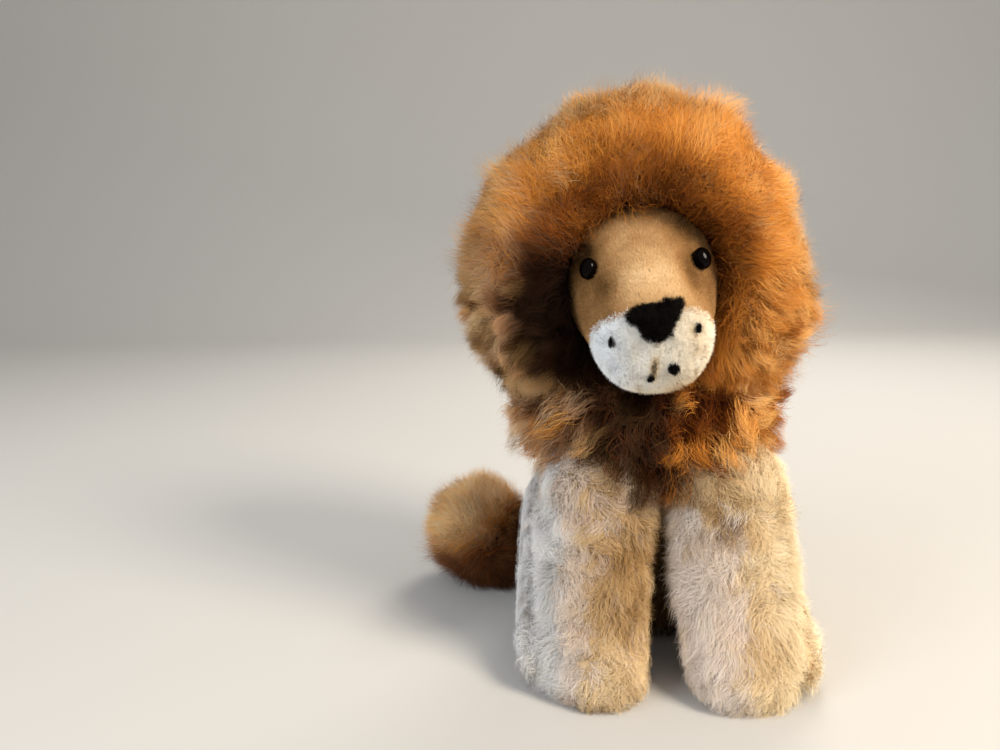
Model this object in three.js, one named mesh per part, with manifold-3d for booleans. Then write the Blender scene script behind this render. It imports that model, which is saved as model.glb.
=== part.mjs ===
// A seated plush lion, about 26 cm tall, in millimetres.
// It faces -Y, +X is its own left side, +Z is up. The origin is the centre of its seat, on the table.
import * as THREE from 'three';
import { mergeVertices } from 'three/addons/utils/BufferGeometryUtils.js';
import Module from 'manifold-3d';

const wasm = await Module();
wasm.setup();

// Driving dimensions
const GAP = 0.3;
// Stuffing has coarser facets than the pelts round it, and so a wider gap
const FILL_GAP = 1.1;
const PELT = 4.5;
const LIMB_PELT = 4;
const FACE_PELT = 3;
const RIM = 3;

// Torso rows: height, half width, half depth, centre y
const TORSO = [
  [0, 45, 38, 3],
  [10, 52, 45, 2],
  [35, 54, 43, 6],
  [60, 56, 35, 2.5],
  [82, 56, 39.5, -10],
  [105, 50, 38, -20],
  [130, 36, 30, -24],
];
// Chest ruff rows: height, half width, half depth, centre y
const RUFF = [
  [84, 22, 16, -54],
  [90, 47, 35, -44],
  [98, 61, 51, -31],
  [108, 65, 54, -28],
  [122, 66, 52, -27],
];
// Front leg rows below the shoulder: height, half width, half depth, centre y
const FORELEG = [
  [0, 18, 23, -79],
  [5, 21.5, 27.5, -78.5],
  [16, 23, 28.5, -76],
  [38, 22.5, 23.5, -68],
  [62, 22.5, 22.5, -62],
];
const FORELEG_X = 30;
const SHOULDER = { y: -56, z: 84, radius: 23 };
const SHOULDER_PLAY = 1.6;

// Hind leg rows from the haunch to the toes: y, half width, half height, centre x, centre z
const HIND_LEG = [
  [47, 5, 10, 51, 33],
  [39, 12, 24, 51.5, 33],
  [24, 15.5, 33, 52, 34],
  [6, 16.5, 36.5, 52.3, 35.5],
  [-14, 15, 32, 53.8, 31],
  [-34, 11, 22, 58, 21],
  [-54, 8, 15, 60.5, 14],
  [-74, 7.6, 13.5, 59.4, 12.5],
  [-86, 5.5, 10, 58.6, 10],
  [-90, 2.5, 5, 58, 9],
];
const HIND_INNER_X = 44;
const FOOT_INNER_X = 53.5;
// The foot begins this far forward, where the front paw is beside it
const FOOT_START = -39;
// The stuffing ends here, short of the narrow toes
const FILL_TOE = -76;
const HIP = { y: 8, z: 35 };
const HAUNCH_ROOM = { x: 53.5, radii: [21.3, 46.5, 43.5] };
// Radius of the hole in a leg's pelt, inside its sewn edge
const ARMHOLE = 12;
const HIPHOLE = 16;

// Head rows from the back of the skull to the nose: distance ahead, half width, half height, centre height
const HEAD = [
  [-39, 8, 9, 0],
  [-33, 22, 24, 0],
  [-17, 31, 34, 0],
  [0, 33, 36, -1],
  [16, 32, 33.5, -3],
  [29, 28.5, 27.5, -8.5],
  [40, 25, 25, -15],
  [50, 23.5, 22.5, -18.5],
  [58, 19.5, 18, -21],
  [63, 10, 9, -21.5],
];
const HEAD_CENTRE = new THREE.Vector3(-9, -35, 177);
const HEAD_TILT = 3.9;
const HEAD_NOD = 4;
// The white patch over the muzzle: the ball that it fits in, ahead of the head's centre, and its pile
const MUZZLE = { centre: [0, -56, -22.5], radii: [28, 22, 21.5], pile: 3 };

// Mane rows: height, half width, half depth
const MANE = [
  [112, 60, 40],
  [128, 71, 46],
  [148, 78, 50],
  [170, 80.5, 52],
  [194, 79.5, 51],
  [216, 71.5, 47],
  [236, 59, 39],
  [251, 43, 29],
  [259.5, 26, 18],
  [262.5, 6, 5],
];
const MANE_CENTRE = new THREE.Vector3(-10, -26, 178);
const MANE_REACH = new THREE.Vector3(80.5, 52, 84.5);
// Tufts that the mane's pile parts into, fanned out from the face: how many go round,
// how far each sweeps round from front to back in turns, and the depth of the partings
const TUFTS = { count: 13, sweep: 0.05, depth: 4.5 };
const FACE_DISH = { centre: [-8, -100, 170], radii: [54, 50, 60] };

// Neck: three balls about one point, with a wedge between what it carries and the shoulders
const NECK = new THREE.Vector3(-3, -30, 133);
const NECK_WAD = 20;
const NECK_PELT = [20.9, 26.5];
const NECK_SOCKET = 27.5;
const WAD_STALK = 10;
const WAD_DEPTH = 34;
const HEAD_SLOPE = 6;
const TORSO_SLOPE = 18;

// Eyes: buttons on shanks, each held by a washer inside the face
const EYE = { radius: 4.2, across: 24.4, up: 9.5, ahead: 31.5, turn: 34, lift: 24 };
const SHANK = { radius: 1.4, length: 15 };
const WASHER = { radius: 5.4, thick: 1.2, depth: 7.4 };

// Nose patch: width at the top, width at the bottom, height, and its centre on the muzzle
const NOSE = { top: 25, bottom: 7, height: 16.5, up: -10.5, thick: 2.2 };
// Spots: name, place across and up on the muzzle, radius
const SPOTS = [
  ['whisker_spot_right', -19, -17, 2.0],
  ['whisker_spot_left', 16, -13.5, 1.8],
  ['mouth_stitch_left', 6.5, -29.5, 2.8],
  ['mouth_stitch_right', -2.5, -32.5, 1.5],
];

// Tail: root on the rump, route along the table, and the tuft beside the haunch
const TAIL = { radius: 7, wall: 3, root: 8.5 };
const TAIL_ROUTE = [
  [0, 51, 14],
  [-8, 63, 13],
  [-28, 73, 11],
  [-52, 73, 11.5],
  [-71, 61, 14],
  [-82, 47, 17],
];
const TUFT = { centre: [-97, 22, 31], radii: [25, 30, 31.5] };

const COLOURS = {
  cream: 0xd8c7a6,
  tan: 0xcfa676,
  rust: 0xb0672c,
  brown: 0x5a3113,
  white: 0xeee8de,
  black: 0x0d0b0b,
  bead: 0x120a07,
  stuffing: 0xf2f0ea,
  plastic: 0xe4e0d6,
};

function clothLike(colour, roughness = 0.95) {
  return new THREE.MeshStandardMaterial({ color: colour, roughness, metalness: 0 });
}

// One row between driving rows, by Catmull-Rom in each column
function rowAt(rows, t) {
  const place = t * (rows.length - 1);
  const first = Math.min(Math.floor(place), rows.length - 2);
  const f = place - first;
  const near = [-1, 0, 1, 2].map((k) => rows[THREE.MathUtils.clamp(first + k, 0, rows.length - 1)]);
  const [a, b, c, d] = near;
  return b.map((_, j) => {
    const slope = c[j] - a[j];
    const bend = 2 * a[j] - 5 * b[j] + 4 * c[j] - d[j];
    const twist = 3 * b[j] - a[j] - 3 * c[j] + d[j];
    return b[j] + 0.5 * f * (slope + f * (bend + f * twist));
  });
}

function smoothRows(rows, count) {
  return Array.from({ length: count }, (_, i) => rowAt(rows, i / (count - 1)));
}

// A ring of points on a superellipse: 2 is an ellipse, more is squarer
function ring(halfWidth, halfDepth, sides, power = 2) {
  return Array.from({ length: sides }, (_, i) => {
    const angle = (i / sides) * 2 * Math.PI;
    const c = Math.cos(angle);
    const s = Math.sin(angle);
    const bend = (v) => Math.sign(v) * Math.abs(v) ** (2 / power);
    return [halfWidth * bend(c), halfDepth * bend(s)];
  });
}

// A closed skin over rings of points, each with the same count, capped at both ends
function loft(rings) {
  const sides = rings[0].length;
  const points = rings.flat();
  const centre = (r) => r.reduce((sum, p) => sum.add(p), new THREE.Vector3()).divideScalar(sides);
  const faces = [];
  for (let k = 0; k + 1 < rings.length; k += 1) {
    for (let i = 0; i < sides; i += 1) {
      const j = (i + 1) % sides;
      const [a, b, c, d] = [k * sides + i, k * sides + j, (k + 1) * sides + j, (k + 1) * sides + i];
      faces.push(a, b, c, a, c, d);
    }
  }
  const last = (rings.length - 1) * sides;
  const low = points.length;
  points.push(centre(rings[0]), centre(rings.at(-1)));
  for (let i = 0; i < sides; i += 1) {
    const j = (i + 1) % sides;
    faces.push(low, j, i, low + 1, last + i, last + j);
  }
  const geometry = new THREE.BufferGeometry();
  const places = points.flatMap((p) => [p.x, p.y, p.z]);
  geometry.setAttribute('position', new THREE.Float32BufferAttribute(places, 3));
  geometry.setIndex(faces);
  return geometry;
}

function solid(geometry) {
  const bare = geometry.clone();
  bare.deleteAttribute('normal');
  bare.deleteAttribute('uv');
  const merged = mergeVertices(bare, 1e-4);
  const mesh = new wasm.Mesh({
    numProp: 3,
    vertProperties: new Float32Array(merged.attributes.position.array),
    triVerts: new Uint32Array(merged.index.array),
  });
  const made = new wasm.Manifold(mesh);
  return made.volume() < 0 ? solid(turnedOut(geometry)) : made;
}

// The same geometry with each face's winding reversed
function turnedOut(geometry) {
  const flipped = geometry.clone();
  const index = Array.from(flipped.index.array);
  for (let i = 0; i < index.length; i += 3) {
    [index[i], index[i + 1]] = [index[i + 1], index[i]];
  }
  flipped.setIndex(index);
  return flipped;
}

// An upright form from rows of height, half width, half depth and centre y, drawn in by inset
function upright(rows, count, { x = 0, y = 0, inset = 0, sides = 20, power = 2.2 } = {}) {
  const rings = smoothRows(rows, count).map(([z, wide, deep, centreY = 0]) => {
    const points = ring(wide - inset, deep - inset, sides, power);
    return points.map(([u, v]) => new THREE.Vector3(x + u, y + centreY + v, z));
  });
  return solid(loft(rings));
}

function ball(centre, radii, across = 20, up = 12) {
  const geometry = new THREE.SphereGeometry(1, across, up);
  geometry.scale(...radii);
  geometry.translate(...centre);
  return solid(geometry);
}

function sphere(centre, radius, across = 20, up = 12) {
  return ball(centre, [radius, radius, radius], across, up);
}

function rod(from, to, radius, sides = 16) {
  const along = new THREE.Vector3().subVectors(to, from);
  const geometry = new THREE.CylinderGeometry(radius, radius, along.length(), sides);
  const up = new THREE.Vector3(0, 1, 0);
  geometry.applyQuaternion(new THREE.Quaternion().setFromUnitVectors(up, along.clone().normalize()));
  geometry.translate(...from.clone().addScaledVector(along, 0.5).toArray());
  return solid(geometry);
}

function block(low, high) {
  const size = high.map((v, i) => v - low[i]);
  const geometry = new THREE.BoxGeometry(...size);
  geometry.translate(...low.map((v, i) => v + size[i] / 2));
  return solid(geometry);
}

const REACH = 200;
const FLOOR_BLOCK = block([-REACH, -REACH, -REACH], [REACH, REACH, 0]);

// All that lies under, or over, a cone about the neck that falls by slope degrees from its tip
function neckCone(slope, over) {
  const fall = -REACH * Math.tan(THREE.MathUtils.degToRad(slope));
  const far = over ? REACH : -REACH;
  const profile = [[0, 0], [REACH, fall], [REACH, far], [0, far]];
  const points = profile.map(([r, h]) => new THREE.Vector2(r, h));
  const geometry = new THREE.LatheGeometry(points, 24);
  geometry.rotateX(Math.PI / 2);
  geometry.translate(...NECK.toArray());
  return solid(geometry);
}

const UNDER_HEAD = neckCone(HEAD_SLOPE, false);
const OVER_TORSO = neckCone(TORSO_SLOPE, true);
const NECK_CUT = sphere(NECK.toArray(), NECK_SOCKET + GAP, 16, 10);

function largest(made) {
  const parts = made.decompose();
  return parts.reduce((best, p) => (p.volume() > best.volume() ? p : best), parts[0]);
}

function cut(from, ...tools) {
  return tools.reduce((left, tool) => left.subtract(tool), from);
}

// Front legs: a furry sock with a ball shoulder, filled with stuffing

// Half of the shoulder ball as rows, from its middle to its top
function shoulderRows(radius) {
  const steps = 3;
  return Array.from({ length: steps + 1 }, (_, i) => {
    const angle = (i / steps) * 0.93 * (Math.PI / 2);
    const across = radius * Math.cos(angle);
    return [SHOULDER.z + radius * Math.sin(angle), across, across, SHOULDER.y];
  });
}

// The leg drawn in by inset all over, and cut flat at the height lift
function forelegForm(side, inset, lift = 0, sides = 16) {
  const shaft = smoothRows(FORELEG, 6).map(([z, wide, deep, y]) => [z, wide - inset, deep - inset, y]);
  const rows = [...shaft, ...shoulderRows(SHOULDER.radius - inset)];
  const rings = rows.map(([z, wide, deep, centreY]) => {
    const points = ring(wide, deep, sides, z >= SHOULDER.z ? 2 : 2.2);
    return points.map(([u, v]) => new THREE.Vector3(side * FORELEG_X + u, centreY + v, z));
  });
  return cut(solid(loft(rings)), FLOOR_BLOCK.translate([0, 0, lift]));
}

function foreleg(side) {
  const outer = forelegForm(side, 0);
  const sewnEdge = rod(
    new THREE.Vector3(side * FORELEG_X, SHOULDER.y, SHOULDER.z),
    new THREE.Vector3(side * FORELEG_X, SHOULDER.y + 2 * SHOULDER.radius, SHOULDER.z),
    ARMHOLE,
    12,
  );
  const pelt = cut(outer, forelegForm(side, LIMB_PELT, RIM), sewnEdge);
  const stuffing = forelegForm(side, LIMB_PELT + FILL_GAP, RIM + GAP, 12);
  return { pelt, stuffing };
}

// Hind legs: haunch and foot in one furry sock, flat against the body and the front paw

// All that lies nearer the middle than x on one side, between two distances back
function insideOf(side, x, front, back) {
  const [low, high] = side > 0 ? [-REACH, x] : [-x, REACH];
  return block([low, front, -REACH], [high, back, REACH]);
}

function hindLegForm(side, inset, sides = 14) {
  const rings = smoothRows(HIND_LEG, 10).map(([y, wide, high, x, z]) => {
    const points = ring(Math.max(wide - inset, 1), Math.max(high - inset, 1), sides, 2.2);
    return points.map(([u, v]) => new THREE.Vector3(side * x + u, y, z + v));
  });
  const long = solid(loft(rings));
  const haunchSide = insideOf(side, HIND_INNER_X + inset, FOOT_START - 1, REACH);
  const footSide = insideOf(side, FOOT_INNER_X + inset, -REACH, FOOT_START);
  return cut(long, haunchSide, footSide, FLOOR_BLOCK.translate([0, 0, inset]));
}

function hindLeg(side) {
  const outer = hindLegForm(side, 0);
  const sewnEdge = rod(
    new THREE.Vector3(side * (HIND_INNER_X - LIMB_PELT), HIP.y, HIP.z),
    new THREE.Vector3(side * (HIND_INNER_X + 2 * LIMB_PELT), HIP.y, HIP.z),
    HIPHOLE,
    12,
  );
  const pelt = cut(outer, hindLegForm(side, LIMB_PELT), sewnEdge);
  const heel = HIND_LEG[0][0] - LIMB_PELT;
  const betweenEnds = block([-REACH, FILL_TOE, -REACH], [REACH, heel, REACH]);
  const stuffing = hindLegForm(side, LIMB_PELT + FILL_GAP, 10).intersect(betweenEnds);
  return { pelt, stuffing };
}

// The hollow in the body that the shoulder ball turns in, grown by more
function shoulderRoom(side, more = 0) {
  const radius = SHOULDER.radius + SHOULDER_PLAY + more;
  return sphere([side * FORELEG_X, SHOULDER.y, SHOULDER.z], radius, 14, 8);
}

// The hollow in the body's flank that the haunch lies in, at rest and lifted, grown by more
function haunchRoom(side, more = 0) {
  const radii = HAUNCH_ROOM.radii.map((r) => r + more);
  return ball([side * HAUNCH_ROOM.x, HIP.y, HIP.z], radii, 14, 8);
}

// The hollows for all four legs, grown by more
function legRooms(more = 0) {
  return [1, -1].flatMap((side) => [shoulderRoom(side, more), haunchRoom(side, more)]);
}

// Tail: a furry tube sewn to the rump, and the tuft at its end

const TAIL_LINE = new THREE.CatmullRomCurve3(TAIL_ROUTE.map((p) => new THREE.Vector3(...p)));

// A tube along the tail between two shares of its length
function tailTube(radius, from, to) {
  const steps = 8;
  const section = ring(radius, radius, 8).map(([u, v]) => new THREE.Vector2(u, v));
  const share = (i) => from + ((to - from) * i) / steps;
  const points = Array.from({ length: steps + 1 }, (_, i) => TAIL_LINE.getPoint(share(i)));
  const shape = new THREE.Shape(section);
  const path = new THREE.CatmullRomCurve3(points);
  return solid(new THREE.ExtrudeGeometry(shape, { steps, bevelEnabled: false, extrudePath: path }));
}

function tail() {
  const root = TAIL_ROUTE[0];
  const tip = TAIL_ROUTE.at(-1);
  const hollow = TAIL.radius - TAIL.wall;
  const nearTip = TAIL_LINE.getPoint(0.97);
  const pastTip = nearTip.clone().addScaledVector(TAIL_LINE.getTangent(1), 10);
  const insideRump = new THREE.Vector3(root[0], root[1] - 2 * TAIL.root, root[2]);
  const towardRump = rod(TAIL_LINE.getPoint(0.06), insideRump, hollow, 8);
  const outer = tailTube(TAIL.radius, 0, 1).add(sphere(root, TAIL.root, 14, 8));
  const bore = tailTube(hollow, 0, 1).add(towardRump).add(rod(nearTip, pastTip, hollow, 8));
  const pelt = cut(outer, bore);
  const core = tailTube(hollow - 2 * GAP, 0, 1);
  const tuft = cut(ball(TUFT.centre, TUFT.radii), FLOOR_BLOCK, sphere(tip, TAIL.root, 14, 8));
  return { pelt, core, tuft };
}

// Torso: a furry tube round its stuffing, closed below by the seat panel

// The torso drawn in by inset all round, and made longer by reach at each end
function torsoForm(inset, sides = 20, reach = 0) {
  const rows = smoothRows(TORSO, 9);
  rows[0][0] -= reach;
  rows.at(-1)[0] += reach;
  return upright(rows, rows.length, { inset, sides });
}

// The hollow in the rump that the tail's root turns in, grown by more
function rumpRoom(more = 0) {
  return sphere(TAIL_ROUTE[0], TAIL.root + 2 * GAP + more, 14, 8);
}

function torso() {
  const walls = [...legRooms(PELT), rumpRoom(PELT)];
  const through = cut(torsoForm(PELT, 16, 1), ...walls);
  const stalkHole = rod(
    new THREE.Vector3(NECK.x, NECK.y, NECK.z - WAD_DEPTH - 1),
    NECK.clone(),
    WAD_STALK + 2 * GAP,
  );
  const neckRoom = [OVER_TORSO, NECK_CUT];
  const pelt = largest(cut(torsoForm(0), through, ...legRooms(), rumpRoom(), ...neckRoom));
  const packed = cut(torsoForm(PELT + FILL_GAP, 16), ...legRooms(PELT + GAP), rumpRoom(PELT + GAP));
  const underStuffing = block([-REACH, -REACH, -REACH], [REACH, REACH, RIM + GAP]);
  const stuffing = largest(cut(packed, underStuffing, stalkHole, ...neckRoom));
  const overPanel = block([-REACH, -REACH, RIM], [REACH, REACH, REACH]);
  const panel = largest(cut(packed, overPanel));
  return { pelt, stuffing, panel };
}

function chestRuff() {
  const form = upright(RUFF, 8, { x: -2, sides: 24, power: 2.1 });
  const inside = torsoForm(-GAP);
  return largest(cut(form, inside, OVER_TORSO, NECK_CUT, shoulderRoom(1), shoulderRoom(-1)));
}

// Neck: a wad of stuffing on a stalk, inside a pelt sleeve that the head sits on

function neck() {
  const stalkEnd = new THREE.Vector3(NECK.x, NECK.y, NECK.z - WAD_DEPTH);
  const wad = sphere(NECK.toArray(), NECK_WAD, 16, 10).add(rod(stalkEnd, NECK, WAD_STALK, 12));
  const [inside, outside] = NECK_PELT;
  const stalkRoom = rod(
    new THREE.Vector3(NECK.x, NECK.y, NECK.z - 2 * outside),
    NECK,
    WAD_STALK + 5,
    12,
  );
  const hollowBall = cut(sphere(NECK.toArray(), outside, 16, 10), sphere(NECK.toArray(), inside, 16, 10));
  const sleeve = cut(hollowBall, stalkRoom);
  return { wad, sleeve };
}

// Head: everything is shaped straight ahead and then tilted into place

const HEAD_POSE = new THREE.Matrix4().compose(
  HEAD_CENTRE,
  new THREE.Quaternion().setFromEuler(
    new THREE.Euler(THREE.MathUtils.degToRad(HEAD_NOD), THREE.MathUtils.degToRad(-HEAD_TILT), 0, 'YXZ'),
  ),
  new THREE.Vector3(1, 1, 1),
);

// The head, drawn in by inset all over
function headForm(inset, sides = 18) {
  const rings = smoothRows(HEAD, 12).map(([ahead, wide, high, up]) => {
    const lessAhead = THREE.MathUtils.clamp(ahead / 60, -1, 1) * inset;
    const points = ring(Math.max(wide - inset, 1), Math.max(high - inset, 1), sides, 2.15);
    return points.map(([u, v]) => new THREE.Vector3(u, lessAhead - ahead, up + v));
  });
  return solid(loft(rings).applyMatrix4(HEAD_POSE));
}

// The ball that bounds the muzzle patch, grown by more
function muzzleBall(more) {
  const geometry = new THREE.SphereGeometry(1, 16, 10);
  geometry.scale(...MUZZLE.radii.map((r) => r + more));
  geometry.translate(...MUZZLE.centre);
  return solid(geometry.applyMatrix4(HEAD_POSE));
}

function eyeFrame(side) {
  const place = new THREE.Vector3(side * EYE.across, -EYE.ahead, EYE.up);
  const turn = THREE.MathUtils.degToRad(side * EYE.turn);
  const lift = THREE.MathUtils.degToRad(-EYE.lift);
  const aim = new THREE.Quaternion().setFromEuler(new THREE.Euler(lift, 0, turn, 'ZYX'));
  return new THREE.Matrix4().compose(place, aim, new THREE.Vector3(1, 1, 1)).premultiply(HEAD_POSE);
}

// A disc or rod whose axis is the eye's line of sight, between two depths behind the face
function alongSight(side, radius, front, back, sides = 12) {
  const geometry = new THREE.CylinderGeometry(radius, radius, back - front, sides);
  geometry.translate(0, (front + back) / 2, 0);
  return solid(geometry.applyMatrix4(eyeFrame(side)));
}

function eyeBead(side, radius) {
  const geometry = new THREE.SphereGeometry(radius, 16, 8);
  geometry.scale(1, 0.72, 1);
  return solid(geometry.applyMatrix4(eyeFrame(side)));
}

function eye(side) {
  const button = eyeBead(side, EYE.radius).add(alongSight(side, SHANK.radius, 0, SHANK.length, 8));
  const buttonRoom = eyeBead(side, EYE.radius + GAP).add(
    alongSight(side, SHANK.radius + GAP, 0, SHANK.length + GAP, 8),
  );
  const back = WASHER.depth + WASHER.thick;
  const washer = alongSight(side, WASHER.radius, WASHER.depth, back).subtract(
    alongSight(side, SHANK.radius + GAP, WASHER.depth - 1, back + 1, 8),
  );
  const washerRoom = alongSight(side, WASHER.radius + GAP, WASHER.depth - GAP, back + GAP);
  return { button, buttonRoom, washer, washerRoom };
}

// The nose: a rounded triangle, widest at the top, pressed over the muzzle's tip
function noseStamp() {
  const { top, bottom, height, up } = NOSE;
  const [wide, narrow, half] = [top / 2, bottom / 2, height / 2];
  const shape = new THREE.Shape();
  shape.moveTo(-wide * 0.8, half);
  shape.quadraticCurveTo(0, half * 0.86, wide * 0.8, half);
  shape.quadraticCurveTo(wide * 1.08, half * 0.75, wide * 0.82, half * 0.22);
  shape.quadraticCurveTo(narrow * 1.5, -half * 0.7, narrow * 0.8, -half);
  shape.quadraticCurveTo(0, -half * 1.08, -narrow * 0.8, -half);
  shape.quadraticCurveTo(-narrow * 1.5, -half * 0.7, -wide * 0.82, half * 0.22);
  shape.quadraticCurveTo(-wide * 1.08, half * 0.75, -wide * 0.8, half);
  const geometry = new THREE.ExtrudeGeometry(shape, { depth: 60, bevelEnabled: false, curveSegments: 4 });
  geometry.rotateX(Math.PI / 2);
  geometry.translate(0, -30, up);
  return solid(geometry.applyMatrix4(HEAD_POSE));
}

// A flat spot of wool on the muzzle, as deep as the nose patch
function spotStamp(across, up, radius) {
  const geometry = new THREE.CylinderGeometry(radius, radius, 60, 10);
  geometry.translate(across, -60, up);
  return solid(geometry.applyMatrix4(HEAD_POSE));
}

function head() {
  const eyes = { left: eye(1), right: eye(-1) };
  const full = headForm(0);
  const rooms = [eyes.left.buttonRoom, eyes.right.buttonRoom, eyes.left.washerRoom, eyes.right.washerRoom];
  const below = [UNDER_HEAD, NECK_CUT];
  const muzzleRoom = cut(muzzleBall(GAP), headForm(MUZZLE.pile));
  const hollow = FACE_PELT + MUZZLE.pile;
  const pelt = largest(cut(full, muzzleRoom, headForm(hollow), ...rooms, ...below));
  const stuffing = largest(cut(headForm(hollow + FILL_GAP, 14), ...rooms, ...below));
  const muzzle = largest(cut(full.intersect(muzzleBall(0)), headForm(MUZZLE.pile - GAP), ...below));
  const proud = cut(headForm(-NOSE.thick - GAP), headForm(-GAP));
  const nose = largest(proud.intersect(noseStamp()));
  const spots = SPOTS.map(([name, across, up, radius]) => {
    return [name, largest(proud.intersect(spotStamp(across, up, radius)))];
  });
  return { eyes, pelt, stuffing, muzzle, nose, spots };
}

// Draws a point of the mane in toward its middle where two tufts part
function parted(point) {
  const out = point.clone().sub(MANE_CENTRE);
  const { x, y, z } = out.clone().divide(MANE_REACH);
  const turn = Math.atan2(out.z, out.x) / (2 * Math.PI) + TUFTS.sweep * y;
  const parting = 0.5 - 0.5 * Math.cos(2 * Math.PI * TUFTS.count * turn);
  return point.addScaledVector(out.normalize(), -TUFTS.depth * parting * (x * x + z * z));
}

function mane() {
  const rings = smoothRows(MANE, 24).map(([z, wide, deep]) => {
    const points = ring(wide, deep, 44, 2.1);
    return points.map(([u, v]) => parted(new THREE.Vector3(MANE_CENTRE.x + u, MANE_CENTRE.y + v, z)));
  });
  const form = solid(loft(rings));
  const dish = ball(FACE_DISH.centre, FACE_DISH.radii, 20, 12);
  return largest(cut(form, headForm(-GAP), dish, UNDER_HEAD, NECK_CUT));
}

// The lion
const group = new THREE.Group();

function show(name, made, material) {
  const { vertProperties, triVerts } = made.getMesh();
  const geometry = new THREE.BufferGeometry();
  geometry.setAttribute('position', new THREE.BufferAttribute(vertProperties, 3));
  geometry.setIndex(new THREE.BufferAttribute(triVerts, 1));
  geometry.computeVertexNormals();
  const mesh = new THREE.Mesh(geometry, material);
  mesh.name = name;
  group.add(mesh);
}

const CREAM = clothLike(COLOURS.cream);
const FILLING = clothLike(COLOURS.stuffing, 1);
const RUST = clothLike(COLOURS.rust);
const BLACK = clothLike(COLOURS.black, 0.9);
const SIDES = { left: 1, right: -1 };

for (const [word, side] of Object.entries(SIDES)) {
  const fore = foreleg(side);
  show(`front_leg_${word}_pelt`, fore.pelt, CREAM);
  show(`front_leg_${word}_stuffing`, fore.stuffing, FILLING);
  const hind = hindLeg(side);
  show(`hind_leg_${word}_pelt`, hind.pelt, CREAM);
  show(`hind_leg_${word}_stuffing`, hind.stuffing, FILLING);
}

const body = torso();
show('torso_pelt', body.pelt, CREAM);
show('torso_stuffing', body.stuffing, FILLING);
show('seat_panel', body.panel, CREAM);
show('chest_ruff', chestRuff(), clothLike(COLOURS.brown));

const { wad, sleeve } = neck();
show('neck_stuffing', wad, FILLING);
show('neck_pelt', sleeve, CREAM);

const face = head();
show('head_pelt', face.pelt, clothLike(COLOURS.tan));
show('head_stuffing', face.stuffing, FILLING);
show('muzzle_patch', face.muzzle, clothLike(COLOURS.white));
show('nose_patch', face.nose, BLACK);
for (const [name, spot] of face.spots) show(name, spot, BLACK);
for (const [word, { button, washer }] of Object.entries(face.eyes)) {
  show(`eye_${word}`, button, clothLike(COLOURS.bead, 0.08));
  show(`eye_washer_${word}`, washer, clothLike(COLOURS.plastic, 0.5));
}
show('mane_pelt', mane(), RUST);

const { pelt: tailPelt, core, tuft } = tail();
show('tail_pelt', tailPelt, CREAM);
show('tail_stuffing', core, FILLING);
show('tail_tuft', tuft, clothLike(COLOURS.brown));

export default group;
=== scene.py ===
"""A seated plush lion: skins, long pile, wool nose, bead eyes, floor, lights and camera.

Forms are worked out in millimetres in the part's own frame: the lion faces -Y, +X is its left side.
"""

import math
from collections import namedtuple
from functools import partial

import bpy
import numpy as np
from mathutils import Matrix, Vector
from mathutils.bvhtree import BVHTree
from mathutils.kdtree import KDTree


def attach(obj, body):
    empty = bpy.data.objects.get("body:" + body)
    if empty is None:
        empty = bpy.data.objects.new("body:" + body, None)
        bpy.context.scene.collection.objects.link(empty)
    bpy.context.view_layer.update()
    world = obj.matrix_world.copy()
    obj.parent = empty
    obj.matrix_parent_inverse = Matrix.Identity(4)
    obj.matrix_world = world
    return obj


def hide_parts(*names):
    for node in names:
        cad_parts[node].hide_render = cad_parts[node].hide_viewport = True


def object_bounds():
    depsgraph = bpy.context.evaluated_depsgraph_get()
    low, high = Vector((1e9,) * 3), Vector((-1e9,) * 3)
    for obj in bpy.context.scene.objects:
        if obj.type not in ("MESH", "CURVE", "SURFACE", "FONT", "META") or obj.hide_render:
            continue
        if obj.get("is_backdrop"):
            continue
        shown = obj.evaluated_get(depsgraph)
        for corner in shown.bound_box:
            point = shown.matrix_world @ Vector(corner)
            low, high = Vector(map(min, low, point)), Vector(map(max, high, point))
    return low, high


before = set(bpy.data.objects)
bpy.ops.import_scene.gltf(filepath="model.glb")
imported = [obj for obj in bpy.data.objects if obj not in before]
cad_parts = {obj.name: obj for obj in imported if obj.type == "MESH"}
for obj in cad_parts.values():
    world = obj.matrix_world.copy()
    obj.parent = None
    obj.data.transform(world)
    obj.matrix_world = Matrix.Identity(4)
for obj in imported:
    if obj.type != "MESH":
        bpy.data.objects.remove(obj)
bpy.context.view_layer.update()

# Share of the strands that are grown, and how much wider each is, while trying things
SHARE, WIDEN = ((1.0, 1.0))

# Strands on each form
FORELEG_STRANDS, HINDLEG_STRANDS, TORSO_STRANDS, RUFF_STRANDS = 54000, 27000, 28000, 30000
FACE_STRANDS, MUZZLE_STRANDS, NOSE_STRANDS, SPOT_STRANDS = 60000, 64000, 9000, 900
MANE_STRANDS, FLUFF_STRANDS, WISP_STRANDS = 160000, 20000, 16000
TAIL_STRANDS, TUFT_STRANDS = 12000, 42000

# The forms, as the CAD part has them. Height, half width, half depth and middle along Y
TORSO = [(0, 45, 38, 3), (10, 52, 45, 2), (35, 54, 43, 6), (60, 56, 35, 2.5), (82, 56, 39.5, -10),
         (105, 50, 38, -20), (130, 36, 30, -24)]
RUFF = [(84, 22, 16, -54), (90, 47, 35, -44), (98, 61, 51, -31), (108, 65, 54, -28), (122, 66, 52, -27)]
FORELEG = [(0, 18, 23, -79), (5, 21.5, 27.5, -78.5), (16, 23, 28.5, -76), (38, 22.5, 23.5, -68),
           (62, 22.5, 22.5, -62)]
FORELEG_X = 30
# Middle along Y, height and radius of a front leg's round top
SHOULDER = (-56, 84, 23)
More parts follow.
